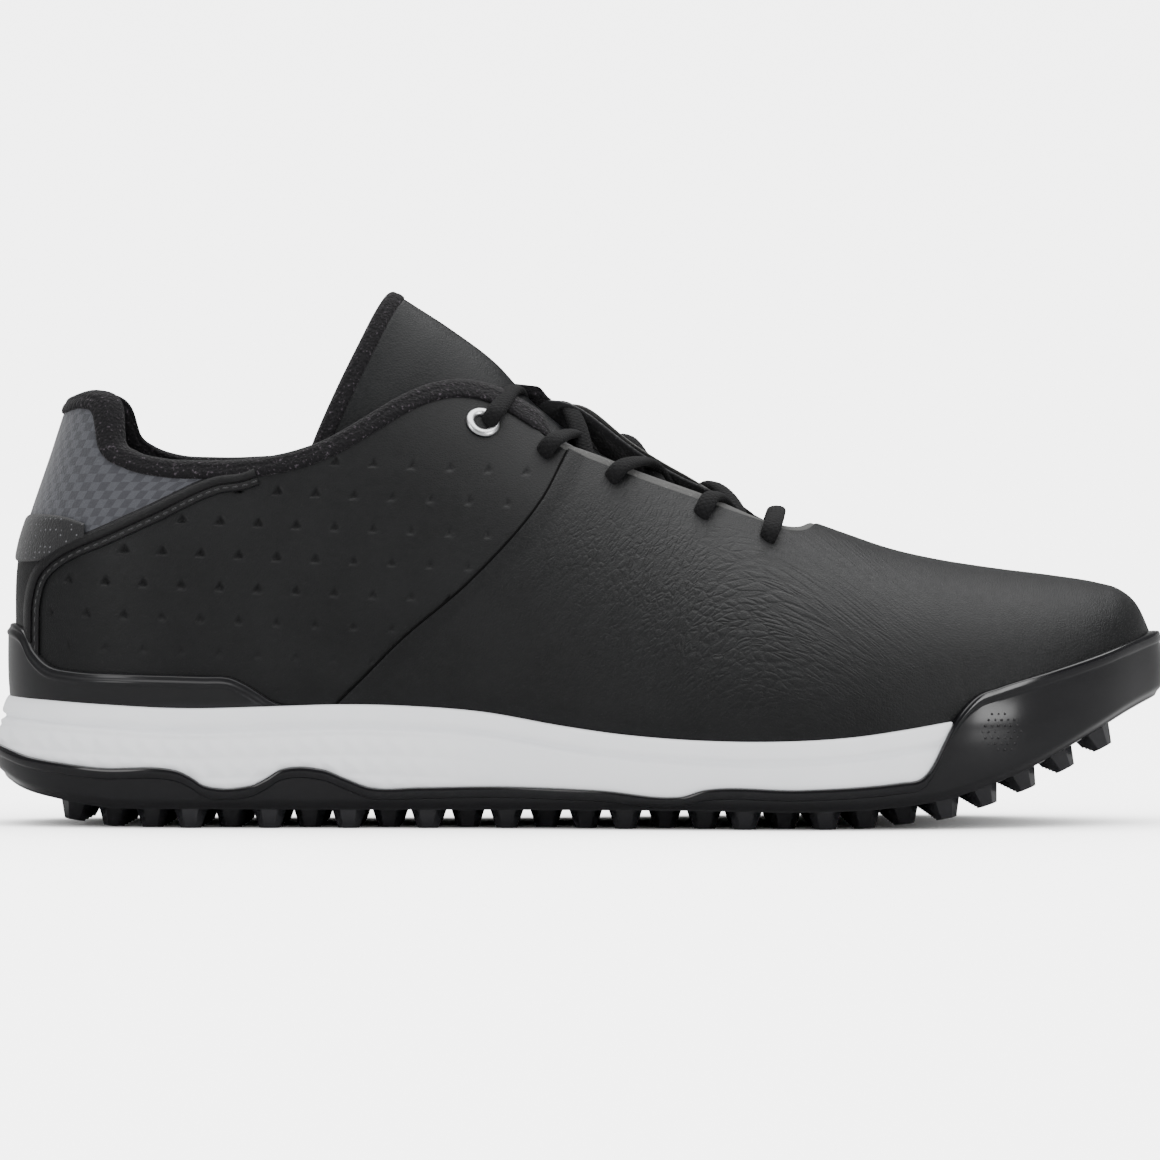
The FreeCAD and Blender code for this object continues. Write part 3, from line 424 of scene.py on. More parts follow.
black_lining = cloth_material("black_lining", (0.012, 0.012, 0.013), (0.035, 0.035, 0.038), 0.9, 1100.0, 0.2)
LINING_IN = -4.1
ridge_rear = [(x, float(curve_at(RIDGE, x)) + LINING_IN) for x in (72, 83, 96, 109, 120, 130, 137, 141, 144)]
run = 0.5 - 0.5 * np.cos(np.linspace(0, math.pi, 200))
climb = np.linspace(0, 1, 50)
lining_grids, backing_grids = [], []
for side in (LATERAL, MEDIAL):
    low = [(x, float(curve_at(FOOTBED, x)) + 2)
           for x in (-140.5, -120, -90, -60, -30, 0, 30, 60, 90, 110, 130, 143)]
    edge = ([(-129.4, 108)] + [(x, z + 1.6) for x, z in COLLAR[side][1:]]
            + [(x, z - 1.2) for x, z in FACING[side][1:5]])
    high = throat_and_ridge(edge + [(53, 74.6), (68, float(curve_at(RIDGE, 68.0)) + LINING_IN)],
                            [(68, float(curve_at(RIDGE, 68.0)) + LINING_IN)] + ridge_rear, run)
    back = [(float(curve_at(BACK, z)) - LINING_IN, z) for z in (26, 40, 55, 70, 80, 95, 108)]
    tip = [(143, 38), (144.5, 45), (144, float(curve_at(RIDGE, 144.0)) + LINING_IN)]
    places = patch(low, high, back, tip, run, climb)
    places = under_ridge(places, climb, LINING_IN)
    lining_grids.append(outward(side, form_points(side, places, LINING_IN)))
    backing_grids.append(outward(side, form_points(side, under_ridge(places, climb, LINING_IN - 0.4), -1.7)))
lining = wall(surface("lining_cloth", lining_grids), 0.7)
dress(lining, black_lining, "shoe", "black_lining", "lining")

# ---- Sockliner -------------------------------------------------------------------------------
# Loose moulded foam insole under black cloth, 5 mm thick with a rolled rim, that lifts at the heel.
# One closed skin: a grid across its top, round its rim and back along its bottom.
black_insole = cloth_material("insole_cloth", (0.02, 0.02, 0.022), (0.06, 0.06, 0.065), 0.85, 900.0, 0.25)
PAD_IN = -6.0
stations = np.linspace(0, math.pi, 150)
pad_x = -139.2 + (131 + 139.2) * (0.5 - 0.5 * np.cos(stations))
ring = np.linspace(0, 2 * math.pi, 73)
across = np.sign(np.cos(ring)) * np.abs(np.cos(ring)) ** 0.55
level = np.sign(np.sin(ring)) * np.abs(np.sin(ring)) ** 0.75
pad_low = curve_at(FOOTBED, pad_x) + 2.3
middle = curve_at(CENTRE, pad_x)
reach = {side: half_width(side, np.clip(pad_x, -139.3, 131), pad_low + 2.5, PAD_IN) for side in (LATERAL, MEDIAL)}
end_round = np.clip((131.2 - pad_x) / 3, 0, 1) ** 0.5
side_reach = np.where(across[None, :] < 0, reach[LATERAL][:, None], reach[MEDIAL][:, None]) * end_round[:, None]
pad_y = middle[:, None] + across[None, :] * side_reach
dish = 0.5 * (1 - np.abs(across)) * (level > 0)
pad_z = pad_low[:, None] + 2.5 + 2.5 * level - dish
pad_grid = np.stack([pad_x[:, None] + 0 * pad_y, pad_y, pad_z], -1)
pad_grid[:, -1] = pad_grid[:, 0]
pad_grid[0] = pad_grid[0].mean(0)
pad_grid[-1] = pad_grid[-1].mean(0)
sockliner = surface("sockliner_pad", [pad_grid])
dress(sockliner, black_insole, "sockliner", "black_lining", "sockliner")

# ---- Vamp ------------------------------------------------------------------------------------
# One piece of black pebbled leather over toe and forefoot, lasted over the puff and cut open along
# the throat.  Its rear edge laps over the quarters, and flex creases fan out below the lacing.
SEAM_FOOT = [(-68, 24), (-61.9, 31.4), (-55.6, 37.7), (-45.5, 47.8), (-27.8, 63), (-10.1, 83.2)]
SEAM = {LATERAL: SEAM_FOOT + [(-3.2, 96.4)], MEDIAL: SEAM_FOOT + [(-2.0, 102.3)]}
THROAT_FOOT = [(58.5, 76.1), (61.5, 77.9)]
LEATHER_EDGE = {LATERAL: [(-3.2, 96.4), (5.1, 93.3), (15.4, 89.2), (30.8, 83.8), (46.2, 78.5),
                          (54, 75.9)] + THROAT_FOOT,
                MEDIAL: [(-2.0, 102.3), (6, 99.2), (14, 95.4), (27, 89), (42, 82), (54, 76.5)] + THROAT_FOOT}
UNDER_VAMP = [(-68, 24), (-45, 25), (-5, 20.5), (30, 17.5), (70, 19), (94, 23), (120, 30), (149, 40)]


def crease_flow(xz):
    """Coordinates along and across the creases, which run steeply by the lacing and flatten to the toe."""
    x, z = xz[..., 0], xz[..., 1]
    lean = np.radians(58 - 42 * ease(x, 25, 105))
    return np.stack([x * np.cos(lean) + z * np.sin(lean), z * np.cos(lean) - x * np.sin(lean)], -1) * MM


run = np.linspace(0, 1, 240)
run = 0.5 * run + 0.5 * (1 - (1 - run) ** 2)
climb = np.sin(np.linspace(0, 1, 90) * 1.47) / math.sin(1.47)
grids, lifts, uvs, flexes = [], [], [], []
for side in (LATERAL, MEDIAL):
    ridge = [(x, float(curve_at(RIDGE, x)))
             for x in (61.5, 67, 74, 83, 96, 109, 120, 130, 137, 141.5, 145, 147.5, 149)]
    places = patch(UNDER_VAMP, throat_and_ridge(LEATHER_EDGE[side], ridge, run), SEAM[side],
                   [(149, 40), (149, 44), (149, 49)], run, climb)
    places = under_ridge(places, climb)
    on_ridge = run >= 0.5
    places[on_ridge, -1, 1] = curve_at(RIDGE, places[on_ridge, -1, 0]) + 1e-5
    places[-1, :, 0] = 149
    x, z = places[..., 0], places[..., 1]
    gap = x - curve_at([(b, a) for a, b in SEAM[side]], z)
    flex = (np.exp(-((x - 42) / 34) ** 2 - ((z - 52) / 21) ** 2)
            + 0.5 * np.exp(-((x - 5) / 22) ** 2 - ((z - 72) / 15) ** 2))
    flow = crease_flow(places) / MM
    wave = np.sin(flow[..., 1] * 0.9 + 1.4 * np.sin(flow[..., 0] / 7.5)) + 0.6 * np.sin(
        flow[..., 1] * 1.7 + 2.0 * np.sin(flow[..., 0] / 5.2 + 1.3))
    lift = 0.75 * (1 - ease(gap, 0.2, 7)) + 0.04 * flex * wave
    grids.append(outward(side, form_points(side, places)))
    lifts.append(outward(side, lift))
    uvs.append(outward(side, crease_flow(places)))
    flexes.append(outward(side, np.clip(flex, 0, 1)))
vamp = wall(surface("vamp_leather", grids, lifts, uvs, {"flex": flexes}), 1.5)


def grain_group():
    """Pebble grain: rounded Voronoi cells broken by noise, and a slow patina mask."""
    group, given, result = value_group("leather_grain", [("Scale", 900.0)], ["Height", "Patina"])
    nodes, links = group.nodes, group.links
    place = nodes.new("ShaderNodeTexCoord")
    warp = nodes.new("ShaderNodeTexNoise")
    warp.inputs["Scale"].default_value = 300.0
    bend = nodes.new("ShaderNodeVectorMath")
    bend.operation = "SCALE"
    bend.inputs["Scale"].default_value = 0.0014
    total = nodes.new("ShaderNodeVectorMath")
    cells = nodes.new("ShaderNodeTexVoronoi")
    cells.feature = "DISTANCE_TO_EDGE"
    dome = nodes.new("ShaderNodeMapRange")
    dome.interpolation_type = "SMOOTHSTEP"
    dome.inputs["From Max"].default_value = 0.25
    patina = nodes.new("ShaderNodeTexNoise")
    patina.inputs["Scale"].default_value = 55.0
    patina.inputs["Detail"].default_value = 6.0
    links.new(place.outputs["Object"], warp.inputs["Vector"])
    links.new(place.outputs["Object"], patina.inputs["Vector"])
    links.new(place.outputs["Object"], total.inputs[0])
    links.new(warp.outputs["Color"], bend.inputs[0])
    links.new(bend.outputs["Vector"], total.inputs[1])
    links.new(total.outputs["Vector"], cells.inputs["Vector"])
    links.new(given.outputs["Scale"], cells.inputs["Scale"])
    links.new(cells.outputs["Distance"], dome.inputs["Value"])
    links.new(dome.outputs["Result"], result.inputs["Height"])
    links.new(patina.outputs["Fac"], result.inputs["Patina"])
    return group


leather_grain = grain_group()


def leather(name, color, roughness, scale, depth, creased=False):
    """Coated leather: dark base whose tone and gloss drift with the patina, over a fine pebble grain,
    and where creased, larger cells drawn out along the piece's own crease map under its flex mask."""
    material = plain_material(name, color, roughness)
    nodes, links = material.node_tree.nodes, material.node_tree.links
    shader = nodes["Principled BSDF"]
    shader.inputs["Specular IOR Level"].default_value = 0.22
    grain = nodes.new("ShaderNodeGroup")
    grain.node_tree = leather_grain
    grain.inputs["Scale"].default_value = scale
    tone = nodes.new("ShaderNodeMix")
    tone.data_type = "RGBA"
    tone.inputs["A"].default_value = (*[value * 0.7 for value in color], 1)
    tone.inputs["B"].default_value = (*[value * 1.35 for value in color], 1)
    gloss = nodes.new("ShaderNodeMapRange")
    gloss.inputs["To Min"].default_value = roughness - 0.06
    gloss.inputs["To Max"].default_value = roughness + 0.08
    bump = nodes.new("ShaderNodeBump")
    bump.inputs["Strength"].default_value = 0.5
    bump.inputs["Distance"].default_value = depth * MM
    links.new(grain.outputs["Patina"], tone.inputs["Factor"])
    links.new(tone.outputs["Result"], shader.inputs["Base Color"])
    links.new(grain.outputs["Patina"], gloss.inputs["Value"])
    links.new(gloss.outputs["Result"], shader.inputs["Roughness"])
    links.new(grain.outputs["Height"], bump.inputs["Height"])
    links.new(bump.outputs["Normal"], shader.inputs["Normal"])
    if creased:
        flow_map = nodes.new("ShaderNodeUVMap")
        flow_map.uv_map = "UVMap"
        stretch = nodes.new("ShaderNodeMapping")
        stretch.inputs["Scale"].default_value = (0.42, 1.0, 1.0)
        wander = nodes.new("ShaderNodeTexNoise")
        wander.inputs["Scale"].default_value = 180.0
        shift = nodes.new("ShaderNodeVectorMath")
        shift.operation = "SCALE"
        shift.inputs["Scale"].default_value = 0.0035
        total = nodes.new("ShaderNodeVectorMath")
        cells = nodes.new("ShaderNodeTexVoronoi")
        cells.feature = "DISTANCE_TO_EDGE"
        cells.inputs["Scale"].default_value = 860.0
        dome = nodes.new("ShaderNodeMapRange")
        dome.interpolation_type = "SMOOTHSTEP"
        dome.inputs["From Max"].default_value = 0.28
        flex = nodes.new("ShaderNodeAttribute")
        flex.attribute_name = "flex"
        strong = nodes.new("ShaderNodeMath")
        strong.operation = "MULTIPLY"
        crease = nodes.new("ShaderNodeBump")
        crease.inputs["Strength"].default_value = 0.75
        crease.inputs["Distance"].default_value = 0.26 * MM
        links.new(flow_map.outputs["UV"], stretch.inputs["Vector"])
        links.new(stretch.outputs["Vector"], wander.inputs["Vector"])
        links.new(wander.outputs["Color"], shift.inputs[0])
        links.new(stretch.outputs["Vector"], total.inputs[0])
        links.new(shift.outputs["Vector"], total.inputs[1])
        links.new(total.outputs["Vector"], cells.inputs["Vector"])
        links.new(cells.outputs["Distance"], dome.inputs["Value"])
        links.new(dome.outputs["Result"], strong.inputs[0])
        links.new(flex.outputs["Fac"], strong.inputs[1])
        links.new(strong.outputs["Value"], crease.inputs["Height"])
        links.new(bump.outputs["Normal"], crease.inputs["Normal"])
        links.new(crease.outputs["Normal"], shader.inputs["Normal"])
    return material


vamp_leather = leather("vamp_leather", (0.008, 0.0083, 0.0087), 0.42, 1300.0, 0.10, creased=True)
dress(vamp, vamp_leather, "shoe", "black_leather", "vamp")

# ---- Quarters --------------------------------------------------------------------------------
# Black leather on both sides between the vamp seam and the heel piping, top edge in the collar
# binding.  Staggered rows of small triangles are pressed in, deepest above and behind.
PIPING = [(-80, 91.8), (-82.5, 89.6), (-86, 88.4), (-92.9, 87.3), (-109.5, 79.6), (-122, 74), (-129, 71.2),
          (-134.5, 68.2), (-138.5, 64.3), (-140.6, 57.9), (-141, 50.4), (-141, 43), (-141, 26)]
PRESS_PITCH = 9.75
PRESS_ROW = 8.4
PRESS_WIDTH = 2.5


def pressed_triangles(xz):
    """Depth of the nearest pressed triangle: rows slope gently, every other row is shifted by half a
    pitch, and the depth falls off smoothly over the signed distance to the triangle's three edges."""
    x, z = xz[..., 0] + 86.8, xz[..., 1] + 0.052 * (xz[..., 0] + 86.8) - 86.0
    row = np.round(z / PRESS_ROW)
    shift = np.where(np.mod(row, 2) == 0, 0.0, 0.5) * PRESS_PITCH
    across = x - shift - PRESS_PITCH * np.round((x - shift) / PRESS_PITCH)
    rise = z - row * PRESS_ROW
    fade = (1 - 0.55 * ease(x, 5, 70)) * (1 - 0.75 * ease(-row, 2.5, 6)) * (row > -6.5) * (row < 1.5)
    edge = PRESS_WIDTH / (2 * math.sqrt(3)) * (0.75 + 0.25 * fade)
    inside = np.minimum(rise + edge, edge - (rise * 0.5 + np.abs(across) * math.sqrt(3) / 2))
    return 0.95 * fade * ease(inside, -0.25, 0.45)


run = np.linspace(0, 1, 360)
climb = np.linspace(0, 1, 190)
quarter_leather = leather("quarter_leather", (0.008, 0.0083, 0.0087), 0.42, 1500.0, 0.07)
for side, name, node in ((LATERAL, "lateral_quarter_leather", "lateral_quarter"),
                         (MEDIAL, "medial_quarter_leather", "medial_quarter")):
    collar = [(x, z + 1.8) for x, z in COLLAR[side] if -76 < x < -10] + [(-8.1, COLLAR[side][-1][1] - 0.5)]
    top = [(-80, 91.8)] + collar + [(x + 1.5, z - 1.0) for x, z in SEAM[side][-1:]]
    front = [(x + 1.5, z) for x, z in SEAM[side][:-1]] + top[-1:]
    low = [(-141, 26), (-120, 25), (-95, 25), (-68, 24)] + front[:1]
    places = patch(low, top, PIPING[::-1], front, run, climb)
    grid = form_points(side, places)
    lift = -pressed_triangles(places)
    quarter = surface(name, [outward(side, grid)], [outward(side, lift)])
    dress(quarter, quarter_leather, "shoe", "black_leather", node)

# ---- Backstay and heel panel -----------------------------------------------------------------
# Leather backstay round the heel below the strap, and above it a panel of grey woven checks that
# reaches the collar.  Both wrap round from side to side.


def onto_back(places):
    """Places with their last row moved to the back edge."""
    places[-1, :, 0] = curve_at(BACK, places[-1, :, 1]) - 1e-5
    return places


heel_run = np.sin(np.linspace(0, 1, 110) * math.pi / 2)
backstay_grids, panel_grids, panel_uvs = [], [], []
for side in (LATERAL, MEDIAL):
    back = [(float(curve_at(BACK, z)), z) for z in (26, 34, 42, 50, 58, 66, 74, 82, 90, 98, 108.1)]
    lower = [point for point in PIPING[::-1] if point[1] < 73] + [(-122, 74)]
    upper = [point for point in PIPING[::-1] if point[1] > 73]
    top = [(x, z + 1.8) for x, z in COLLAR[side][::-1] if x < -81]
    waist = [(-122, 74), (-130, 74), back[6]]
    places = patch([(-141, 26), (-143, 26), back[0]], waist, lower, back[:7], heel_run, np.linspace(0, 1, 60))
    backstay_grids.append(outward(side, form_points(side, onto_back(places))[::-1]))
    top = [(-80, 91.8)] + top[:-1] + [(-131.5, 108.4), back[-1]]
    places = patch(waist, top, upper, back[6:], heel_run, np.linspace(0, 1, 60))
    grid = form_points(side, onto_back(places))
    panel_grids.append(outward(side, grid[::-1]))
    steps = np.linalg.norm(np.diff(grid[..., :2], axis=0), axis=2)
    spread = np.concatenate([np.zeros((1, 60)), np.cumsum(steps, 0)])
    wrap = np.stack([side * (spread[-1] - spread), grid[..., 2]], -1) * MM
    panel_uvs.append(outward(side, wrap[::-1]))
backstay = surface("backstay_leather", backstay_grids)
heel_panel = surface("heel_panel_cloth", panel_grids, None, panel_uvs)
dress(backstay, quarter_leather, "shoe", "black_leather", "backstay")


def checked_cloth():
    """Two-tone woven checks of 2.2 mm from the panel's own map, over the fibre group's fine weave."""
    material = cloth_material("grey_fabric", (0.05, 0.052, 0.06), (0.09, 0.092, 0.105), 0.75, 1600.0, 0.12)
    nodes, links = material.node_tree.nodes, material.node_tree.links
    wrap = nodes.new("ShaderNodeUVMap")
    wrap.uv_map = "UVMap"
    checks = nodes.new("ShaderNodeTexChecker")
    checks.inputs["Scale"].default_value = 1 / (2.2 * MM)
    checks.inputs["Color1"].default_value = (0.040, 0.041, 0.048, 1)
    checks.inputs["Color2"].default_value = (0.060, 0.062, 0.071, 1)
    grain = nodes.new("ShaderNodeTexNoise")
    grain.inputs["Scale"].default_value = 900.0
    blend = nodes.new("ShaderNodeMix")
    blend.data_type = "RGBA"
    blend.blend_type = "OVERLAY"
    blend.inputs["Factor"].default_value = 0.6
    links.new(wrap.outputs["UV"], checks.inputs["Vector"])
    links.new(checks.outputs["Color"], blend.inputs["A"])
    links.new(grain.outputs["Fac"], blend.inputs["B"])
    links.new(blend.outputs["Result"], nodes["Principled BSDF"].inputs["Base Color"])
    return material


dress(heel_panel, checked_cloth(), "shoe", "grey_fabric", "heel_panel")

# ---- Piping ----------------------------------------------------------------------------------
# Black double cord over the join of quarter and heel panel: a thick cord above and a flat stitched
# flange below, as a raised section carried along the join's line.
def side_normals(line):
    """Unit normals of a densely sampled side-view line, to its left."""
    step = np.gradient(line, axis=0)
    step /= np.linalg.norm(step, axis=1)[:, None]
    return np.stack([-step[:, 1], step[:, 0]], -1)


def banded(side, line, shape):
    """Grid of a section carried along a side-view line: each (across, rise) of the section is laid
    across the line in side view and raised off the form."""
    normals = side_normals(line)
    places = line[:, None] + normals[:, None] * shape[None, :, :1]
    return np.stack([form_points(side, places[:, k], shape[k, 1]) for k in range(len(shape))], 1)


# Near-black bead along each vamp edge: painted shade that stands in for the dark shadow line of the lapped seam.
seam_shadow_paint = plain_material("seam_shadow_paint", (0.0015, 0.0015, 0.0015), 0.8)
seam_shadow_paint.node_tree.nodes["Principled BSDF"].inputs["Specular IOR Level"].default_value = 0.1
bead_turn = np.linspace(0, 2 * math.pi, 13)
bead_shape = np.stack([0.32 * np.cos(bead_turn), 0.62 + 0.32 * np.sin(bead_turn)], -1)
grids = [outward(side, banded(side, along(SEAM[side], np.linspace(0, 1, 300)), bead_shape))
         for side in (LATERAL, MEDIAL)]
dress(surface("seam_shadow_bead", grids), seam_shadow_paint, "shoe", "black_trim")

trim_leather = leather("trim_leather", (0.009, 0.009, 0.0095), 0.36, 1500.0, 0.07)
cord_across = np.linspace(-2.7, 2.5, 40)
cord_rise = (1.15 * np.sqrt(np.clip(1 - ((cord_across + 1.0) / 1.35) ** 2, 0, 1))
             + 0.75 * np.sqrt(np.clip(1 - ((cord_across - 1.4) / 1.05) ** 4, 0, 1)))
cord_rise[[0, -1]] = -0.4
cord_shape = np.stack([cord_across, cord_rise], -1)
piping_line = along(PIPING[1:-1] + [(-141, 30)], np.linspace(0, 1, 260))
stitch_line = along(PIPING[1:-1] + [(-141, 30)], np.linspace(0.01, 0.99, 40))


def stitches(name, side, line, away, height, length):
    """Row of short thread loops: a small closed ellipsoid at each place, turned along the line."""
    turn = np.linspace(0, 2 * math.pi, 7)[:-1]
    ends = np.array([-1, -0.6, 0.6, 1])
    girth = np.array([0.05, 0.9, 0.9, 0.05])
    normals = side_normals(line)
    spots = line + normals * away
    centre = form_points(side, spots, height)
    ahead = np.gradient(centre, axis=0)
    ahead /= np.linalg.norm(ahead, axis=1)[:, None]
    out = form_points(side, spots, height + 1) - centre
    out[:, 0] = 0
    out /= np.linalg.norm(out, axis=1)[:, None]
    flat = np.cross(ahead, out)
    points = (centre[:, None, None] + ahead[:, None, None] * (ends * length / 2)[None, :, None, None]
              + 0.28 * girth[None, :, None, None] * (np.cos(turn)[None, None, :, None] * flat[:, None, None]
                                                     + np.sin(turn)[None, None, :, None] * out[:, None, None]))
    count = len(line)
    index = np.arange(count * 24).reshape(count, 4, 6)
    sides = np.stack([index[:, :-1], np.roll(index[:, :-1], -1, 2),
                      np.roll(index[:, 1:], -1, 2), index[:, 1:]], -1)
    caps = np.concatenate([index[:, 0, ::-1], index[:, 3]])
    mesh = bpy.data.meshes.new(name)
    mesh.from_pydata((points.reshape(-1, 3) * MM).tolist(), [], sides.reshape(-1, 4).tolist() + caps.tolist())
    mesh.shade_smooth()
    piece = bpy.data.objects.new(name, mesh)
    bpy.context.scene.collection.objects.link(piece)
    return piece


thread = cloth_material("black_thread", (0.02, 0.02, 0.021), (0.06, 0.06, 0.06), 0.6, 2500.0, 0.05)
for side, name in ((LATERAL, "lateral_piping"), (MEDIAL, "medial_piping")):
    grid = banded(side, piping_line, cord_shape)
    dress(surface(f"{name}_cord", [outward(side, grid[:, ::-1])]), trim_leather, "shoe", "black_trim", name)
    dress(stitches(f"{name}_stitches", side, stitch_line, 1.4, 0.72, 1.7), thread, "shoe", "black_trim")

# ---- Heel strap ------------------------------------------------------------------------------
# Black webbing loop with woven pale dots, stitched flat round the heel where panel meets backstay.
def wrapped_band(top_line, foot_line, first_x, count, rows, section):
    """Grids of a band round the heel: x runs as a share from the first place to the back edge of each
    height, z between two side-view lines, and each row stands off the form by its own amount."""
    grids = []
    share = np.sin(np.linspace(0, 1, count) * math.pi / 2)[::-1]
    for side in (LATERAL, MEDIAL):
        x = first_x + (-146.0 - first_x) * share[:, None] + 0 * rows[None]
        for _ in range(6):
            z = curve_at(foot_line, x) * (1 - rows) + curve_at(top_line, x) * rows
            end = curve_at(BACK, z) - section(rows)
            x = first_x + (end - first_x) * share[:, None]
        rise = section(rows)[None] + 0 * x
        x = np.where(share[:, None] > 0.99999, end - 1e-5, x)
        grids.append(outward(side, form_points(side, np.stack([x, z], -1), rise)))
    return grids


STRAP_END = -126.5
strap_rows = np.linspace(0, 1, 24)
strap_section = lambda w: -0.3 + 1.2 * np.clip(1 - np.abs(2 * w - 1) ** 14, 0, 1)
strap_grids = wrapped_band([(-160, 79.6), (-133, 79.6), (STRAP_END, 77.5)],
                           [(-160, 68.7), (-134, 68.7), (STRAP_END, 73)], STRAP_END, 70, strap_rows, strap_section)
strap = surface("heel_strap_webbing", strap_grids)


def dotted_webbing():
    """Webbing: fine diagonal weave bump, and small pale dots on a grid over the strap."""
    material = cloth_material("reflective_strap", (0.008, 0.008, 0.009), (0.02, 0.02, 0.022), 0.6, 1800.0, 0.12)
    nodes, links = material.node_tree.nodes, material.node_tree.links
    place = nodes.new("ShaderNodeTexCoord")
    dots = nodes.new("ShaderNodeTexVoronoi")
    dots.inputs["Scale"].default_value = 700.0
    dots.inputs["Randomness"].default_value = 0.15
    spot = nodes.new("ShaderNodeMapRange")
    spot.inputs["From Min"].default_value = 0.20
    spot.inputs["From Max"].default_value = 0.14
    pale = nodes.new("ShaderNodeMix")
    pale.data_type = "RGBA"
    pale.inputs["A"].default_value = (0.010, 0.010, 0.011, 1)
    pale.inputs["B"].default_value = (0.12, 0.12, 0.13, 1)
    links.new(place.outputs["Object"], dots.inputs["Vector"])
    links.new(dots.outputs["Distance"], spot.inputs["Value"])
    links.new(spot.outputs["Result"], pale.inputs["Factor"])
    links.new(pale.outputs["Result"], nodes["Principled BSDF"].inputs["Base Color"])
    return material


dress(strap, dotted_webbing(), "shoe", "reflective_strap", "heel_strap")

# ---- Heel clip -------------------------------------------------------------------------------
# Satin black moulded cup clipped round the heel, open at the top, whose glossy rim catches the
# light.  It tapers into the feather edge on both sides.
CLIP_TOP = [(-160, 51.8), (-148.7, 51.6), (-144.4, 49.6), (-141.4, 44.6), (-137, 40.8), (-130, 39.4),
            (-117.3, 38.8), (-96.5, 38.2), (-89.5, 37.9), (-85.5, 36.2), (-77, 31.2), (-72, 30.4)]
FEATHER = [(-160, 34), (-146, 33), (-136, 32.2), (-121.3, 31.2), (-101.1, 30.2), (-78.3, 30.7), (-60.6, 31.2),
           (-45.5, 30.9), (-25.3, 29.4), (-5, 25.9), (10.1, 23.8), (30.3, 22.3), (50.5, 22.1),
           (68.2, 23.1), (80.9, 24.8), (94.3, 27.1)]
CLIP_FRONT, CLIP_BACK = -64.7, -148.9
clip_dense = along(CLIP_TOP[1:], np.linspace(0, 1, 400))
clip_along = np.sin(np.linspace(0, 1, 150) * math.pi / 2)
clip_depth = np.concatenate([[-0.35, -0.3, -0.1, 0.15], np.linspace(0.5, 3.0, 9), np.linspace(3.5, 26, 16)])
clip_rise = np.concatenate([[-0.2, 0.75, 1.15, 1.4], 1.4 + 0.85 * ease(np.linspace(0.5, 3.0, 9), 0.4, 2.0)
                            - 0.35 * ease(np.linspace(0.5, 3.0, 9), 2.0, 2.9), 1.9 + 0.0 * np.linspace(0, 1, 16)])
clip_grids = []
for side in (LATERAL, MEDIAL):
    base = CLIP_FRONT + (CLIP_BACK - CLIP_FRONT) * clip_along[::-1]
    z_top = np.interp(base, *clip_dense.T)
    taper = ease(base, -62, -74)
    z = z_top[:, None] - clip_depth[None]
    z = np.maximum(z, curve_at(FEATHER, base)[:, None] - 4)
    rise = (clip_rise[None] * taper[:, None] + (taper[:, None] - 1) * 0.4)
    share = (base - CLIP_FRONT) / (CLIP_BACK - CLIP_FRONT)
    end = curve_at(BACK, z) - rise
    x = CLIP_FRONT + (end - CLIP_FRONT) * share[:, None]
    x[0] = end[0] - 1e-4
    clip_grids.append(outward(side, form_points(side, np.stack([x, z], -1), rise)[:, ::-1]))
clip = surface("heel_clip_cup", clip_grids)


def satin_plastic(name, color, roughness, coat):
    """Moulded plastic: faint mould texture and a roughness that drifts a little."""
    material = plain_material(name, color, roughness)
    nodes, links = material.node_tree.nodes, material.node_tree.links
    shader = nodes["Principled BSDF"]
    shader.inputs["Coat Weight"].default_value = coat
    shader.inputs["Coat Roughness"].default_value = 0.12
    shader.inputs["Specular IOR Level"].default_value = 0.3
    place = nodes.new("ShaderNodeTexCoord")
    drift = nodes.new("ShaderNodeTexNoise")
    drift.inputs["Scale"].default_value = 45.0
    drift.inputs["Detail"].default_value = 5.0
    gloss = nodes.new("ShaderNodeMapRange")
    gloss.inputs["To Min"].default_value = roughness * 0.75
    gloss.inputs["To Max"].default_value = roughness * 1.3
    fine = nodes.new("ShaderNodeTexNoise")
    fine.inputs["Scale"].default_value = 2200.0
    bump = nodes.new("ShaderNodeBump")
    bump.inputs["Strength"].default_value = 0.15
    bump.inputs["Distance"].default_value = 0.02 * MM
    links.new(place.outputs["Object"], drift.inputs["Vector"])
    links.new(place.outputs["Object"], fine.inputs["Vector"])
    links.new(drift.outputs["Fac"], gloss.inputs["Value"])
    links.new(gloss.outputs["Result"], shader.inputs["Roughness"])
    links.new(fine.outputs["Fac"], bump.inputs["Height"])
    links.new(bump.outputs["Normal"], shader.inputs["Normal"])
    return material


satin_black = satin_plastic("satin_black_plastic", (0.008, 0.008, 0.009), 0.3, 0.25)
dress(clip, satin_black, "shoe", "satin_black_plastic", "heel_clip")

# ---- Collar binding --------------------------------------------------------------------------
# Black knitted tape folded over the padded collar edge and stitched through, one length from the
# lateral facing round the heel to the medial facing.  A rolled section carried along the collar.
black_knit = cloth_material("black_knit", (0.0045, 0.004, 0.005), (0.06, 0.05, 0.06), 0.9, 1250.0, 0.35,
                            sheen=0.06)
BAND = 4.7


def rolled_section(outer, inner, band, plump):
    """Closed section of folded tape: down-edge on the outer face, over the top, down-edge on the inner
    face and back inside; rows of (depth below the edge, stand-off from the form)."""
    turn = np.linspace(0, math.pi, 19)
    middle, half = (outer + inner) / 2, (outer - inner) / 2
    top = np.stack([half * 0.55 * (1 - np.sin(turn)), middle + half * np.cos(turn)], -1)
    leg = np.linspace(band, half * 0.55 + 0.4, 9)
    swell = plump * np.sin(np.linspace(0, math.pi, 9)) ** 0.6
    out_leg = np.stack([leg, outer + swell], -1)
    in_leg = np.stack([leg[::-1], inner - swell[::-1]], -1)
    under = np.array([[band + 0.25, outer - 0.5], [band + 0.25, inner + 0.5]])
    return np.concatenate([under[:1], out_leg, top, in_leg, under[1:], under[:1]])


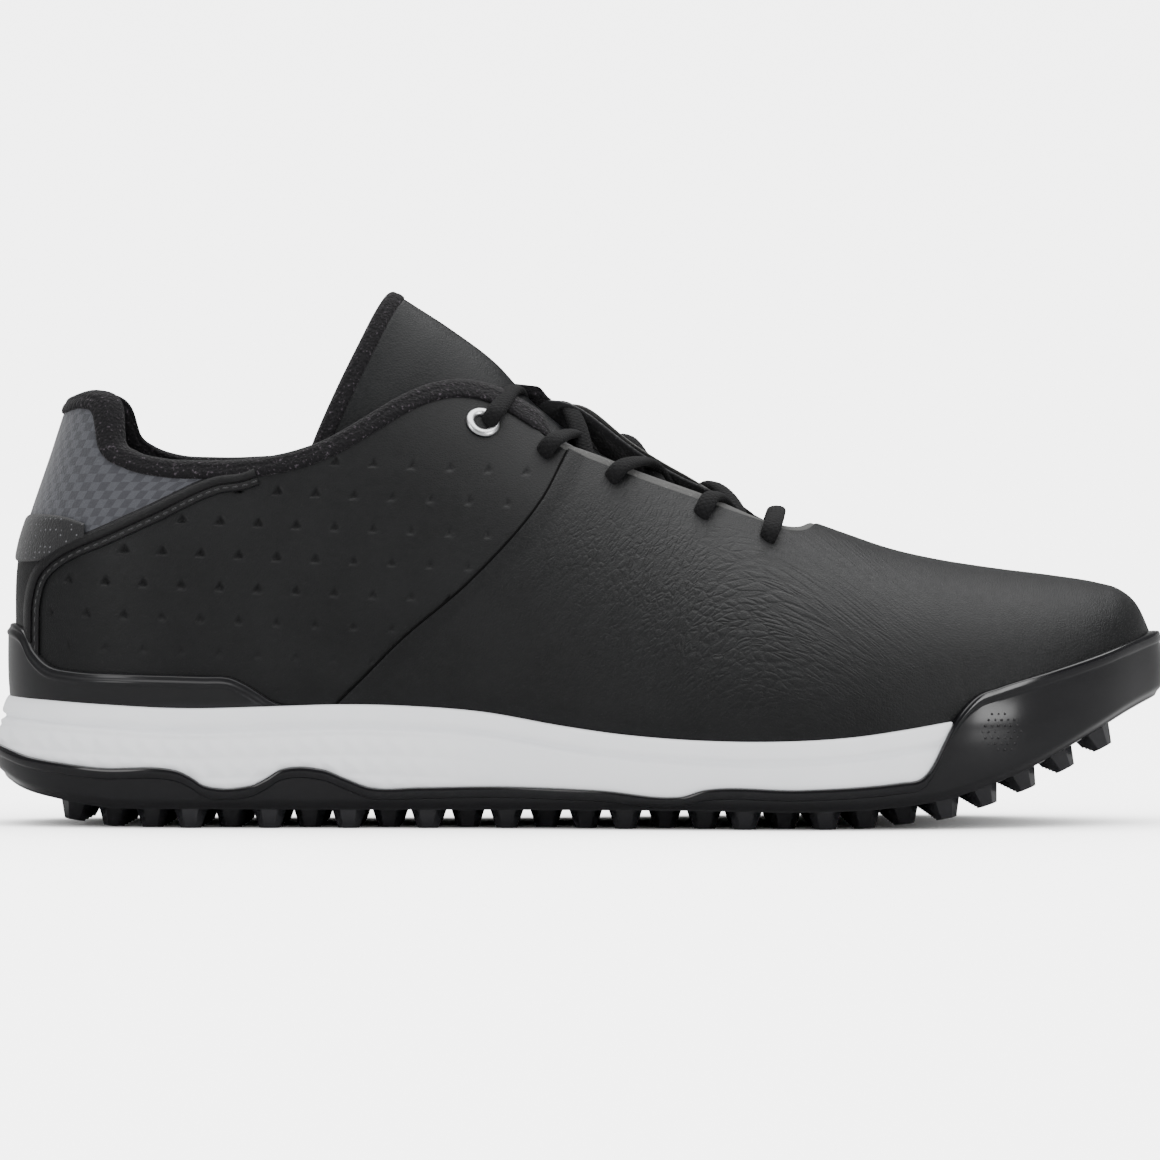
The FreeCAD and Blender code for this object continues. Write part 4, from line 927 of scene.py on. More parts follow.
binding_section = rolled_section(0.45, -5.4, BAND, 0.45)
BINDING_FRONT, BINDING_BACK = -8.1, -133.9
turn_length = HEEL_TURN - BINDING_BACK
collar_x = np.concatenate([np.linspace(BINDING_FRONT, HEEL_TURN, 230)[:-1],
                           HEEL_TURN - turn_length * np.sin(np.linspace(0, 1, 130) * math.pi / 2)])
grids, uvs = [], []
for side in (LATERAL, MEDIAL):
    line = np.stack([collar_x, curve_at(COLLAR[side], collar_x)], -1)
    normals = side_normals(line)
    steady = ease(collar_x, -125.5, -129)[:, None]
    kernel = np.ones(9) / 9
    padded_normals = np.concatenate([np.repeat(normals[:1], 4, 0), normals, np.repeat(normals[-1:], 4, 0)])
    normals = np.stack([np.convolve(padded_normals[:, k], kernel, "valid") for k in (0, 1)], -1)
    normals = normals * (1 - steady) + np.array([0.0, -1.0]) * steady
    normals /= np.linalg.norm(normals, axis=1)[:, None]
    depth, rise = binding_section[:, 0] - BAND, binding_section[:, 1]
    taper = ease(collar_x, -7.5, -13)[:, None]
    x = line[:, :1] + normals[:, :1] * depth[None] * (0.35 + 0.65 * taper)
    z = line[:, 1:] + normals[:, 1:] * depth[None] * (0.35 + 0.65 * taper)
    stand = (rise[None] - (-2.4)) * (0.6 + 0.4 * taper) - 2.4
    share = np.clip((HEEL_TURN - collar_x) / turn_length, 0, None)[:, None]
    end = curve_at(BACK, z) - stand
    x = np.where(collar_x[:, None] < HEEL_TURN, x + (end - BINDING_BACK) * ease(share, 0, 1), x)
    x[-1] = end[-1] - 1e-4
    grid = form_points(side, np.stack([x, z], -1), stand)
    spread = np.concatenate([[0], np.cumsum(np.linalg.norm(np.diff(grid[:, 12], axis=0), axis=1))])
    girth = np.concatenate([[0], np.cumsum(np.linalg.norm(np.diff(binding_section, axis=0), axis=1))])
    grids.append(outward(side, grid[::-1]))
    uvs.append(outward(side, np.stack(np.broadcast_arrays(spread[::-1, None], girth[None]), -1) * MM))
binding = surface("collar_binding_knit", grids, None, uvs)
dress(binding, black_knit, "shoe", "black_knit", "lateral_collar_binding", "medial_collar_binding")

# ---- Facing stays ----------------------------------------------------------------------------
# Grey bonded backing behind the leather along both lace facings.  Its cut edge stands 2 mm proud
# of the leather and turns round the foot of the throat in a U.
def cut_at_ridge(line, top, count):
    """The side-view line up to the place where it reaches the ridge, as evenly spread places."""
    dense = along(line, np.linspace(0, 1, 600))
    over = dense[:, 1] >= top(dense[:, 0])
    end = int(np.argmax(over)) if over.any() else len(dense) - 1
    part = dense[:end + 1].copy()
    if over.any():
        part[-1, 1] = top(part[-1, 0]) + 1e-5
    spread = np.concatenate([[0], np.cumsum(np.linalg.norm(np.diff(part, axis=0), axis=1))])
    even = spread[-1] * np.sin(np.linspace(0, 1, count) * math.pi / 2)
    places = np.stack([np.interp(even, spread, part[:, k]) for k in (0, 1)], -1)
    if over.any():
        places[-1, 1] = top(places[-1, 0]) + 1e-5
    return places


grey_stay = cloth_material("grey_stay", (0.085, 0.085, 0.083), (0.15, 0.15, 0.145), 0.8, 1500.0, 0.15,
                           sheen=0.05)
stay_section = rolled_section(-0.45, -2.6, 6.0, 0.0)
within = stay_section[:, 1] < -1.6
stay_section[within, 0] = np.minimum(stay_section[within, 0], 1.6)
grids = []
for side in (LATERAL, MEDIAL):
    rows = []
    for depth, rise in stay_section:
        line = np.array(FACING[side][:-2]) + np.array([0.33, -0.94]) * depth
        turn = np.array([[53.5 + depth * 0.3, 77.0 - depth], [58.0 + depth * 0.8, 77.2 - depth * 0.8],
                         [61.0 + depth, 79.5 - depth * 0.5], [64.0 + depth, 83.0]])
        places = cut_at_ridge(np.concatenate([line[:-1], turn]), lambda x: curve_at(RIDGE, x) + rise, 160)
        rows.append(form_points(side, places, rise))
    grids.append(outward(side, np.stack(rows, 1)[:, ::-1]))
dress(surface("facing_stay_edge", grids), grey_stay, "shoe", "grey_stay", "lateral_facing_stay",
      "medial_facing_stay")

# ---- Midsole ---------------------------------------------------------------------------------
# White moulded foam all round under the upper: a soft rim at the feather edge, a groove, and a
# deeper band below it whose rear half is cut into low slanting facets.
SOLE_BACK = [(0, -146), (8.4, -148.2), (16.2, -151.8), (22.7, -150.8), (28.7, -149.5), (34, -147.8), (54, -147)]
SOLE_FRONT = [(0, 146), (25, 150), (39.6, 151.7), (54, 149.5)]
SOLE_FLARE = [(0, -1.6), (14, 0), (26, -0.8), (34, -1.8), (54, -2.6)]
SOLE_PLAN = {
    LATERAL: [(-150, 14), (-140, 29), (-125, 37), (-105, 40.5), (-80, 41), (-50, 41.5), (-20, 44), (10, 50),
              (40, 54.2), (65, 55.5), (90, 51.2), (115, 41.6), (135, 27), (146, 12)],
    MEDIAL: [(-150, 14), (-140, 28), (-125, 35.5), (-105, 38), (-80, 36.5), (-50, 34), (-20, 34.5), (10, 41),
             (40, 49.5), (65, 54.2), (85, 55.6), (105, 52.2), (125, 42.5), (140, 28.5), (147.5, 17)],
}
LIP = [(-160, 22), (-150.8, 21), (-141.2, 18), (-132.5, 16.5), (-122, 15.3), (-102.3, 14.7), (-98.6, 13),
       (-95.3, 10.9), (-83.4, 10.9), (-79.6, 12.7), (-75.8, 15), (-65.2, 15), (-59.4, 12.7), (-53.1, 10.4),
       (-40.4, 10.4), (-20.2, 10.7), (5, 9.9), (25.3, 8.4), (31.6, 10.2), (55.6, 10.2), (80.9, 12),
       (85.9, 13), (87.9, 15), (94.3, 27.1)]
BUMPER_TOP = [(94.3, 27.1), (99.8, 33.2), (106.1, 35.7), (119.5, 39.6), (133, 43.8), (144.8, 48), (160, 52.8)]
TREAD = [(-160, 17), (-150, 12.9), (-143.8, 9.6), (-133, 7), (-121, 5.2), (-100, 4.9), (20, 4.9), (73, 5.1),
         (93.2, 7.7), (102, 10.4), (114.4, 15.2), (131.7, 24.1), (142.6, 29.8), (160, 37)]


def closed_curve(points, count):
    """Evenly spread places on the closed cubic spline through the points: slopes from the cyclic
    system that keeps the curvature whole at every knot."""
    points = np.array(points, float)
    n = len(points)
    span = np.linalg.norm(np.roll(points, -1, 0) - points, axis=1)
    slope = (np.roll(points, -1, 0) - points) / span[:, None]
    before, slope_before = np.roll(span, 1), np.roll(slope, 1, 0)
    matrix = np.zeros((n, n))
    index = np.arange(n)
    matrix[index, index] = 2 * (before + span)
    matrix[index, (index - 1) % n] = span
    matrix[index, (index + 1) % n] = before
    tangent = np.linalg.solve(matrix, 3 * (span[:, None] * slope_before + before[:, None] * slope))

    def place(t):
        i = np.clip(np.searchsorted(reach, t, side="right") - 1, 0, n - 1)
        u = ((t - reach[i]) / span[i])[:, None]
        h = span[i][:, None]
        j = (i + 1) % n
        return (points[i] * (1 + 2 * u) * (1 - u) ** 2 + tangent[i] * h * u * (1 - u) ** 2
                + points[j] * u * u * (3 - 2 * u) - tangent[j] * h * u * u * (1 - u))
    reach = np.concatenate([[0], np.cumsum(span)])[:-1]
    total = span.sum()
    fine = np.linspace(0, total, 8000)
    dense = place(np.minimum(fine, total - 1e-9))
    length = np.concatenate([[0], np.cumsum(np.linalg.norm(np.diff(dense[:, :2], axis=0), axis=1))])
    even = np.interp(np.linspace(0, length[-1], count + 1)[:-1], length, fine)
    return place(np.minimum(even, total - 1e-9))


RING = 960
SOLE_HALF = 152.0
FACET_CELL, FACET_DEPTH = 11.5, 2.0
BUMPER_START = 93.5
plan_points = ([(-SOLE_HALF, 0, 0)] + [(x, -y, -1) for x, y in SOLE_PLAN[LATERAL]] + [(SOLE_HALF, 4, 0)]
               + [(x, y, 1) for x, y in SOLE_PLAN[MEDIAL][::-1]])
plan_ring = closed_curve(plan_points, RING)
ring_step = np.roll(plan_ring[:, :2], -1, 0) - np.roll(plan_ring[:, :2], 1, 0)
ring_out = np.stack([ring_step[:, 1], -ring_step[:, 0]], -1) / np.linalg.norm(ring_step, axis=1)[:, None]
if (ring_out * plan_ring[:, :2]).sum() < 0:
    ring_out = -ring_out


def sole_ring(z, push=0.0):
    """Points of the sole's side at each ring place and height z, pushed outwards: the plan outline
    stretched between the heel and toe profiles and widened by the flare of that height."""
    back, front = curve_at(SOLE_BACK, z), curve_at(SOLE_FRONT, z)
    share = (plan_ring[:, 0] + SOLE_HALF)[:, None] / (2 * SOLE_HALF)
    x = back + (front - back) * share + ring_out[:, :1] * push
    y = plan_ring[:, 1:2] + curve_at(SOLE_FLARE, z) * plan_ring[:, 2:3] + ring_out[:, 1:] * push
    return np.stack([x, y, z], -1)


def sole_band(high, low, rows, push):
    """Ring grid between two height lines over x, each row at its share of the height from the top."""
    z = np.full((RING, len(rows)), 25.0)
    for _ in range(5):
        x = sole_ring(z)[..., 0]
        z = curve_at(high, x) * (1 - rows) + curve_at(low, x) * rows
    return sole_ring(z, push(x, z, rows))


def midsole_push(x, z, rows):
    """Relief of the midsole: rounded rim, groove under it, and facets that fade out forwards."""
    top, foot = curve_at(FEATHER, x), curve_at(LIP, x)
    below = top - z
    height = top - foot
    rim = 0.75 * (1 - np.clip(np.abs(below - 2.2) / 2.6, 0, 1) ** 3.5)
    groove = -0.75 * np.exp(-((below - 5.3) / 0.7) ** 2)
    lower = ease(below, 5.8, 6.6)
    a = (x + 1.15 * below) / FACET_CELL
    b = (x - 1.15 * below) / FACET_CELL
    facet = np.abs(a - np.round(a)) + np.abs(b - np.round(b))
    relief = FACET_DEPTH * np.abs(0.5 - facet) * lower * (1 - ease(x, -60, -14)) * ease(height - below, 0.0, 2.0)
    fade = ease(height, 2, 9)
    return (rim + groove) * fade + relief * fade


rows = np.concatenate([np.linspace(0, 0.35, 26), np.linspace(0.36, 1, 34)])
midsole_side = sole_band(FEATHER, LIP, rows, midsole_push)
ahead = plan_ring[:, 0] > BUMPER_START
flat_out = np.concatenate([ring_out, np.zeros((RING, 1))], 1)
ledge = [midsole_side[:, 0] - flat_out * depth + np.array([0, 0, rise])
         for depth, rise in ((8.0, -0.6), (5.0, 0.0), (2.2, 0.25), (0.6, 0.15))]
shelf = [midsole_side[:, -1] - flat_out * depth for depth in (2.0, 7.0)]
midsole_grid = np.stack(ledge + [midsole_side[:, k] for k in range(len(rows))] + shelf, 1)
midsole_grid = np.concatenate([midsole_grid, midsole_grid[:1]])
first_ahead = int(np.argmax(ahead))
last_ahead = RING - 1 - int(np.argmax(ahead[::-1]))
midsole_grids = [midsole_grid[:first_ahead + 2][:, ::-1], midsole_grid[last_ahead - 1:][:, ::-1]]


def foam_material():
    """White foam: fine skin stipple and a faint mould mottling of its tone."""
    material = plain_material("white_foam", (0.80, 0.81, 0.84), 0.55)
    nodes, links = material.node_tree.nodes, material.node_tree.links
    shader = nodes["Principled BSDF"]
    place = nodes.new("ShaderNodeTexCoord")
    mottle = nodes.new("ShaderNodeTexNoise")
    mottle.inputs["Scale"].default_value = 70.0
    mottle.inputs["Detail"].default_value = 5.0
    tone = nodes.new("ShaderNodeMix")
    tone.data_type = "RGBA"
    tone.inputs["A"].default_value = (0.84, 0.855, 0.885, 1)
    tone.inputs["B"].default_value = (0.93, 0.94, 0.96, 1)
    stipple = nodes.new("ShaderNodeTexVoronoi")
    stipple.inputs["Scale"].default_value = 1700.0
    bump = nodes.new("ShaderNodeBump")
    bump.inputs["Strength"].default_value = 0.25
    bump.inputs["Distance"].default_value = 0.04 * MM
    links.new(place.outputs["Object"], mottle.inputs["Vector"])
    links.new(place.outputs["Object"], stipple.inputs["Vector"])
    links.new(mottle.outputs["Fac"], tone.inputs["Factor"])
    links.new(tone.outputs["Result"], shader.inputs["Base Color"])
    links.new(stipple.outputs["Distance"], bump.inputs["Height"])
    links.new(bump.outputs["Normal"], shader.inputs["Normal"])
    return material


midsole = surface("midsole_foam", midsole_grids)
dress(midsole, foam_material(), "shoe", "white_foam", "midsole")

# ---- Outsole ---------------------------------------------------------------------------------
# Gloss black moulded plate under the whole shoe.  A bead edges its top all round, and at the toe it
# climbs into a smooth bumper with a hexagon of small raised dots.
outsole_high = LIP + BUMPER_TOP[1:]
hex_steps = [(a, b) for a in range(-3, 4) for b in range(-3, 4)
             if abs(a + b) <= 3 and (a, b) != (0, 0) and not (a == 0 and abs(b) == 3)]
DOT_PITCH = 1.75
DOT_CENTRE = (106.6, 24.6)
DOT_RADIUS, DOT_HEIGHT = 0.34, 0.30
dot_spots = np.array([(DOT_CENTRE[0] + DOT_PITCH * (a + b / 2) * 0.96,
                       DOT_CENTRE[1] + DOT_PITCH * b * math.sqrt(3) / 2) for a, b in hex_steps])


def outsole_push(x, z, rows):
    """Relief of the outsole's side: bead along the top, and a rounded foot."""
    top, foot = curve_at(outsole_high, x), curve_at(TREAD, x)
    below, above = top - z, z - foot
    bead = 0.95 * np.sqrt(np.clip(1 - ((below - 1.3) / 1.5) ** 2, 0, 1)) * (1 - 0.55 * ease(x, 96, 104))
    rounding = -1.6 * (1 - ease(above, 0, 3.2)) ** 1.5
    return 0.35 + bead + rounding


rows = np.concatenate([np.linspace(0, 0.3, 24)[:-1], np.linspace(0.3, 1, 50)])
outsole_side = sole_band(outsole_high, TREAD, rows, outsole_push)
inner = [outsole_side[:, 0] - flat_out * depth + np.array([0, 0, rise])
         for depth, rise in ((9.0, -0.5), (4.0, -0.1), (1.4, 0.1), (0.5, 0.08))]
outsole_ring = np.stack(inner + [outsole_side[:, k] for k in range(len(rows))], 1)
outsole_ring = np.concatenate([outsole_ring, outsole_ring[:1]])[:, ::-1]
foot_ring = outsole_side[:, -1]
tip_index = int(np.argmax(foot_ring[:, 0]))
left = foot_ring[:tip_index + 1]
right = np.concatenate([foot_ring[tip_index:], foot_ring[:1]])[::-1]
if left[len(left) // 2, 1] > 0:
    left, right = right, left
spread = 0.5 - 0.5 * np.cos(np.linspace(0, math.pi, 300))
left = np.stack([np.interp(spread, np.linspace(0, 1, len(left)), left[:, k]) for k in range(3)], -1)
right = np.stack([np.interp(spread, np.linspace(0, 1, len(right)), right[:, k]) for k in range(3)], -1)
across = np.linspace(0, 1, 90)[None, :, None]
under = left[:, None] * (1 - across) + right[:, None] * across
inland = np.minimum(across[..., 0], 1 - across[..., 0]) * np.linalg.norm(right - left, axis=1)[:, None]
under[..., 2] = (under[..., 2] * (1 - ease(inland, 0, 3)) + curve_at(TREAD, under[..., 0]) * ease(inland, 0, 3))
gloss_black = satin_plastic("gloss_black_plastic", (0.004, 0.004, 0.005), 0.16, 0.45)
dress(surface("outsole_plate", [outsole_ring, under[:, ::-1]]), gloss_black, "shoe", "gloss_black_plastic",
      "outsole")


def bumper_dots():
    """Small domes on both sides of the bumper: a ring grid of one dome placed at each spot."""
    turn = np.linspace(0, 2 * math.pi, 9)[:-1]
    tilt = np.array([0.0, 0.5, 1.0]) * math.pi / 2
    points, faces = [], []
    for side in (LATERAL, MEDIAL):
        band = outsole_side[(outsole_side[:, 30, 1] < 0) if side == LATERAL else (outsole_side[:, 30, 1] > 0)]
        cloud = band.reshape(-1, 3)
        near = ((cloud[None, :, 0] - dot_spots[:, :1]) ** 2
                + (cloud[None, :, 2] - dot_spots[:, 1:]) ** 2).argmin(1)
        centre = np.stack([dot_spots[:, 0], cloud[near, 1], dot_spots[:, 1]], -1)
        out = np.array([0.38, side * 0.92, 0.0])
        flat = np.array([0.92, -side * 0.38, 0.0]) * -side
        up = np.array([0.0, 0.0, 1.0])
        around = np.cos(turn)[None, :, None] * flat + np.sin(turn)[None, :, None] * up
        dome = (DOT_RADIUS * np.cos(tilt)[:, None, None] * around
                + DOT_HEIGHT * np.sin(tilt)[:, None, None] * out)
        start = sum(len(block) for block in points)
        block = (centre[:, None, None] + dome[None]).reshape(-1, 3)
        index = start + np.arange(len(block)).reshape(len(centre), 3, 8)
        sides = np.stack([index[:, :-1], np.roll(index[:, :-1], -1, 2),
                          np.roll(index[:, 1:], -1, 2), index[:, 1:]], -1)
        faces += sides.reshape(-1, 4).tolist()
        points.append(block)
    mesh = bpy.data.meshes.new("bumper_dots")
    mesh.from_pydata((np.concatenate(points) * MM).tolist(), [], faces)
    mesh.shade_smooth()
    piece = bpy.data.objects.new("bumper_dots", mesh)
    bpy.context.scene.collection.objects.link(piece)
    return piece


dress(bumper_dots(), gloss_black, "shoe", "gloss_black_plastic")

# ---- Traction lugs ---------------------------------------------------------------------------
# Hexagonal lugs of smoky, slightly clear polyurethane moulded onto the plate.  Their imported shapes
# are right, so they stay and take the finish.
smoky = satin_plastic("smoky_plastic", (0.022, 0.022, 0.025), 0.22, 0.5)
smoky.node_tree.nodes["Principled BSDF"].inputs["Transmission Weight"].default_value = 0.25
for node in ("rear_lugs", "front_lugs"):
    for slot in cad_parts[node].material_slots:
        slot.material = smoky

# ---- Tongue ----------------------------------------------------------------------------------
# One padded leather tongue from the throat to its free top, foam between cover and cloth lining.
# Closed pillow: outer and inner faces meet round the edge.
TONGUE_DROP = [(-44, 0.2), (-34, 0.6), (-22, 2.4), (-14, 6.2), (-5, 8.6), (5, 10.0)]
TONGUE_BACK = [(-45.7, 141), (-50.5, 133.6), (-55.4, 123.6), (-61.3, 111), (-67.1, 97.2), (-70, 88.5)]
TONGUE_HEM = [(-70, 88.5), (-45, 81), (-10, 68), (20, 56), (50, 52), (62, 52)]
TONGUE_OUT, TONGUE_IN = -10.0, -15.4
tongue_run = np.linspace(0, 1, 210)
tongue_climb = np.sin(np.linspace(0, 1, 64) * math.pi / 2)


def tongue_places(grow):
    """Side-view places of one tongue face: hem, ridge, rear edge and front end as the borders."""
    depth = TONGUE_OUT - grow
    top = lambda x: curve_at(RIDGE, x) - curve_at(TONGUE_DROP, x) - depth
    rear = cut_at_ridge(TONGUE_BACK[::-1], top, 14)
    ridge_x = np.concatenate([[rear[-1, 0]], np.linspace(-43, 62, 22)])
    ridge = np.stack([ridge_x, top(ridge_x)], -1)
    front = np.stack([np.full(5, 62.0), np.linspace(52, top(62.0), 5)], -1)
    places = patch(TONGUE_HEM, ridge, rear, front, tongue_run, tongue_climb)
    places[:, -1, 1] = top(places[:, -1, 0]) + 1e-5
    return places, lambda x: curve_at(TONGUE_DROP, x) + depth


faces = {grow: tongue_places(grow) for grow in (TONGUE_OUT, TONGUE_IN)}
outer_places = faces[TONGUE_OUT][0]
gaps = np.linalg.norm(np.diff(outer_places, axis=0), axis=2)
from_rear = np.concatenate([np.zeros((1, 64)), np.cumsum(gaps, 0)])
from_front = from_rear[-1:] - from_rear
rises = np.linalg.norm(np.diff(outer_places, axis=1), axis=2)
from_hem = np.concatenate([np.zeros((210, 1)), np.cumsum(rises, 1)], 1)
edge_gap = np.minimum(np.minimum(from_rear, from_front), from_hem)
round_edge = np.sqrt(np.clip(1 - (1 - np.clip(edge_gap / 3.2, 0, 1)) ** 2, 0, 1))
puff = 0.9 * ease(edge_gap, 4.0, 16.0) * (1 - 0.8 * tongue_climb[None] ** 6)
grids, inside = [], []
for side in (LATERAL, MEDIAL):
    out_face, in_face = [form_points(side, faces[grow][0], grow, faces[grow][1])
                         for grow in (TONGUE_OUT, TONGUE_IN)]
    middle = (out_face + in_face) / 2
    out_face, in_face = [middle + (face - middle) * round_edge[..., None] for face in (out_face, in_face)]
    grids += [outward(side, out_face), outward(side, in_face)[:, ::-1]]
    inside += [0 * edge_gap, 1 + 0 * edge_gap]
lifts = [outward(LATERAL, puff), 0 * puff, outward(MEDIAL, puff), 0 * puff]
tongue = surface("tongue_padded", grids, lifts, None, {"inside": inside})
tongue_leather = leather("tongue_leather", (0.0075, 0.008, 0.0085), 0.38, 1300.0, 0.09)
dress(tongue, tongue_leather, None, "black_leather", "tongue_root_cover", "tongue_root_foam",
      "tongue_root_lining", "tongue_flap_cover", "tongue_flap_foam", "tongue_flap_lining")
tongue.data.materials.append(black_lining)
lined = np.empty(len(tongue.data.vertices))
tongue.data.attributes["inside"].data.foreach_get("value", lined)
starts = np.empty(len(tongue.data.polygons), np.int32)
tongue.data.polygons.foreach_get("loop_start", starts)
corner = np.empty(len(tongue.data.loops), np.int32)
tongue.data.loops.foreach_get("vertex_index", corner)
tongue.data.polygons.foreach_set("material_index", (lined[corner[starts]] > 0.5).astype(np.int32))
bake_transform(tongue)

# ---- Tongue binding --------------------------------------------------------------------------
# The same knitted tape folded over the tongue's free edge and stitched, from the lateral hem over
# the top to the medial hem.
edge_section = rolled_section(0.35, -5.8, 4.4, 0.3)
grids, uvs = [], []
for side in (LATERAL, MEDIAL):
    rows = []
    base = np.array(TONGUE_BACK[::-1])
    tilt = np.array([0.905, -0.425])
    for depth, rise in edge_section:
        top = lambda x: curve_at(RIDGE, x) - curve_at(TONGUE_DROP, x) + rise
        shifted = base + tilt * (depth - 1.9)
        shifted = np.concatenate([shifted, [shifted[-1] + np.array([4.0, 6.5])]])
        places = cut_at_ridge(shifted, top, 120)
        rows.append(form_points(side, places, TONGUE_OUT + rise, lambda x: curve_at(TONGUE_DROP, x) - rise))
    grid = np.stack(rows, 1)
    grids.append(outward(side, grid[:, ::-1]))
    spread = np.concatenate([[0], np.cumsum(np.linalg.norm(np.diff(grid[:, 12], axis=0), axis=1))])
    wrap = np.stack(np.broadcast_arrays(spread[:, None], np.arange(grid.shape[1])[None] * 0.4), -1) * MM
    uvs.append(outward(side, wrap[:, ::-1]))
tongue_edge = surface("tongue_edge_knit", grids, None, uvs)
dress(tongue_edge, black_knit, "tongue_flap", "black_knit", "tongue_binding")

# ---- Top eyelets -----------------------------------------------------------------------------
# Rolled light-metal rings through both facings at the top of the lacing, turned from a half-round
# section about the hole's own axis.
light_metal = plain_material("light_metal", (0.80, 0.81, 0.82), 0.28)
light_metal.node_tree.nodes["Principled BSDF"].inputs["Metallic"].default_value = 1.0
brushed = light_metal.node_tree.nodes.new("ShaderNodeTexNoise")
brushed.inputs["Scale"].default_value = 900.0
polish = light_metal.node_tree.nodes.new("ShaderNodeMapRange")
polish.inputs["To Min"].default_value = 0.2
polish.inputs["To Max"].default_value = 0.4
light_metal.node_tree.links.new(brushed.outputs["Fac"], polish.inputs["Value"])
light_metal.node_tree.links.new(polish.outputs["Result"],
                                light_metal.node_tree.nodes["Principled BSDF"].inputs["Roughness"])


def form_frame(side, x, z):
    """Point of the form and its outward normal, from small steps along and up the face."""
    near = form_points(side, np.array([[x, z], [x + 0.5, z], [x - 0.5, z], [x, z + 0.5], [x, z - 0.5]]))
    normal = np.cross(near[1] - near[2], near[3] - near[4])
    normal /= np.linalg.norm(normal)
    return near[0], normal if normal[1] * side > 0 else -normal


ring_turn = np.linspace(0, 2 * math.pi, 49)
tube_turn = np.linspace(0, 2 * math.pi, 17)
for side, spot, name in ((LATERAL, (-25.0, 103.4), "lateral_top_eyelet"),
                         (MEDIAL, (-23.8, 106.0), "medial_top_eyelet")):
    centre, normal = form_frame(side, *spot)
    first = np.cross(normal, [0, 0, 1.0])
    first /= np.linalg.norm(first)
    second = np.cross(normal, first)
    radius = 3.3 + 1.2 * np.cos(tube_turn)
    height = 0.1 + np.where(np.sin(tube_turn) > 0, 0.85 * np.sin(tube_turn),
                            2.4 * np.sin(tube_turn) * (np.cos(tube_turn) < 0.3))
    around = np.cos(ring_turn)[:, None, None] * first + np.sin(ring_turn)[:, None, None] * second
    grid = centre + radius[None, :, None] * around + height[None, :, None] * normal
    dress(surface(f"{name}_ring", [grid[::-1]]), light_metal, "shoe", "light_metal", name)

# ---- Lace ------------------------------------------------------------------------------------
# One flattened braided lace, 0.78 m long, laced criss-cross through both facings, its ends tucked
# down beside the tongue.  An oval section follows the smooth line through the shoe's lacing route.
LACE_ROUTE = [
    (-26, 22.5, 59), (-5, 25, 53), (15.5, 29.5, 47.5), (35, 34.5, 43), (43, 32.5, 50), (32, 27.5, 58),
    (12, 22.5, 66), (-8, 19.5, 74), (-25, 17.5, 82), (-30, 14.5, 92.5), (-25.5, 9, 102.5), (-23.5, 17.5, 107),
    (-20.5, 15, 110.5), (-16.5, 2, 110.8), (-14, -11.5, 97.5), (-11.5, -14.5, 91), (-9, -21.5, 97),
    (-5.5, -18, 100), (-1, 2, 101.5), (2.5, 4, 97), (5.5, 8.5, 90.5), (8.5, 16, 97.2), (12.5, 9, 101.5),
    (19, 2, 90.5), (24.5, -9.5, 81), (28.5, -14.5, 73.5), (31.5, -21, 81), (34.5, -13, 86), (39.5, 2, 80.5),
    (43.5, 8, 76.5), (47, 13, 71), (50, 17.5, 77), (51.5, 2.5, 82.5), (49.5, -23, 77), (46, -17, 68.5),
    (43.5, -10.5, 74), (39.5, 2, 84), (34.5, 10, 88.5), (31, 15.5, 86), (29, 9.5, 78.5), (24.5, 5.5, 85),
    (19, 2, 94), (12.5, -15.5, 93.5), (8.5, -20.5, 90.5), (5.5, -14, 84), (2.5, -11, 90), (-1, 2, 106),
    (-5.5, 12.5, 109.8), (-9, 17, 104), (-11.5, 8, 97.5), (-14, 6.5, 103), (-16.5, 2, 114.5),
    (-20.5, -17, 108), (-23, -21, 104.5), (-26, -13.5, 99), (-30.5, -19.5, 91.5), (-25, -23.5, 81),
    (-8.5, -26, 72.5), (11, -28.5, 65), (31.5, -32, 57), (42, -37, 49.5), (34.5, -40, 42.5),
    (14.5, -37.5, 47), (-5, -33.5, 52.5), (-25.5, -30.5, 58.5)]
lace_curve = bpy.data.curves.new("lace_line", "CURVE")
lace_curve.dimensions = "3D"
lace_curve.resolution_u = 24
spline = lace_curve.splines.new("NURBS")
spline.points.add(len(LACE_ROUTE) - 1)
weights = np.ones((len(LACE_ROUTE), 1))
spline.points.foreach_set("co", np.concatenate([np.array(LACE_ROUTE) * MM, weights], 1).ravel())
spline.order_u = 3
spline.use_endpoint_u = True
lace_line = bpy.data.objects.new("lace_line", lace_curve)
bpy.context.scene.collection.objects.link(lace_line)
bpy.context.view_layer.update()
line_mesh = bpy.data.meshes.new_from_object(lace_line)
line = np.empty(len(line_mesh.vertices) * 3)
line_mesh.vertices.foreach_get("co", line)
line = line.reshape(-1, 3) / MM
bpy.data.objects.remove(lace_line)

LACE_WIDE, LACE_THICK = 2.3, 1.15


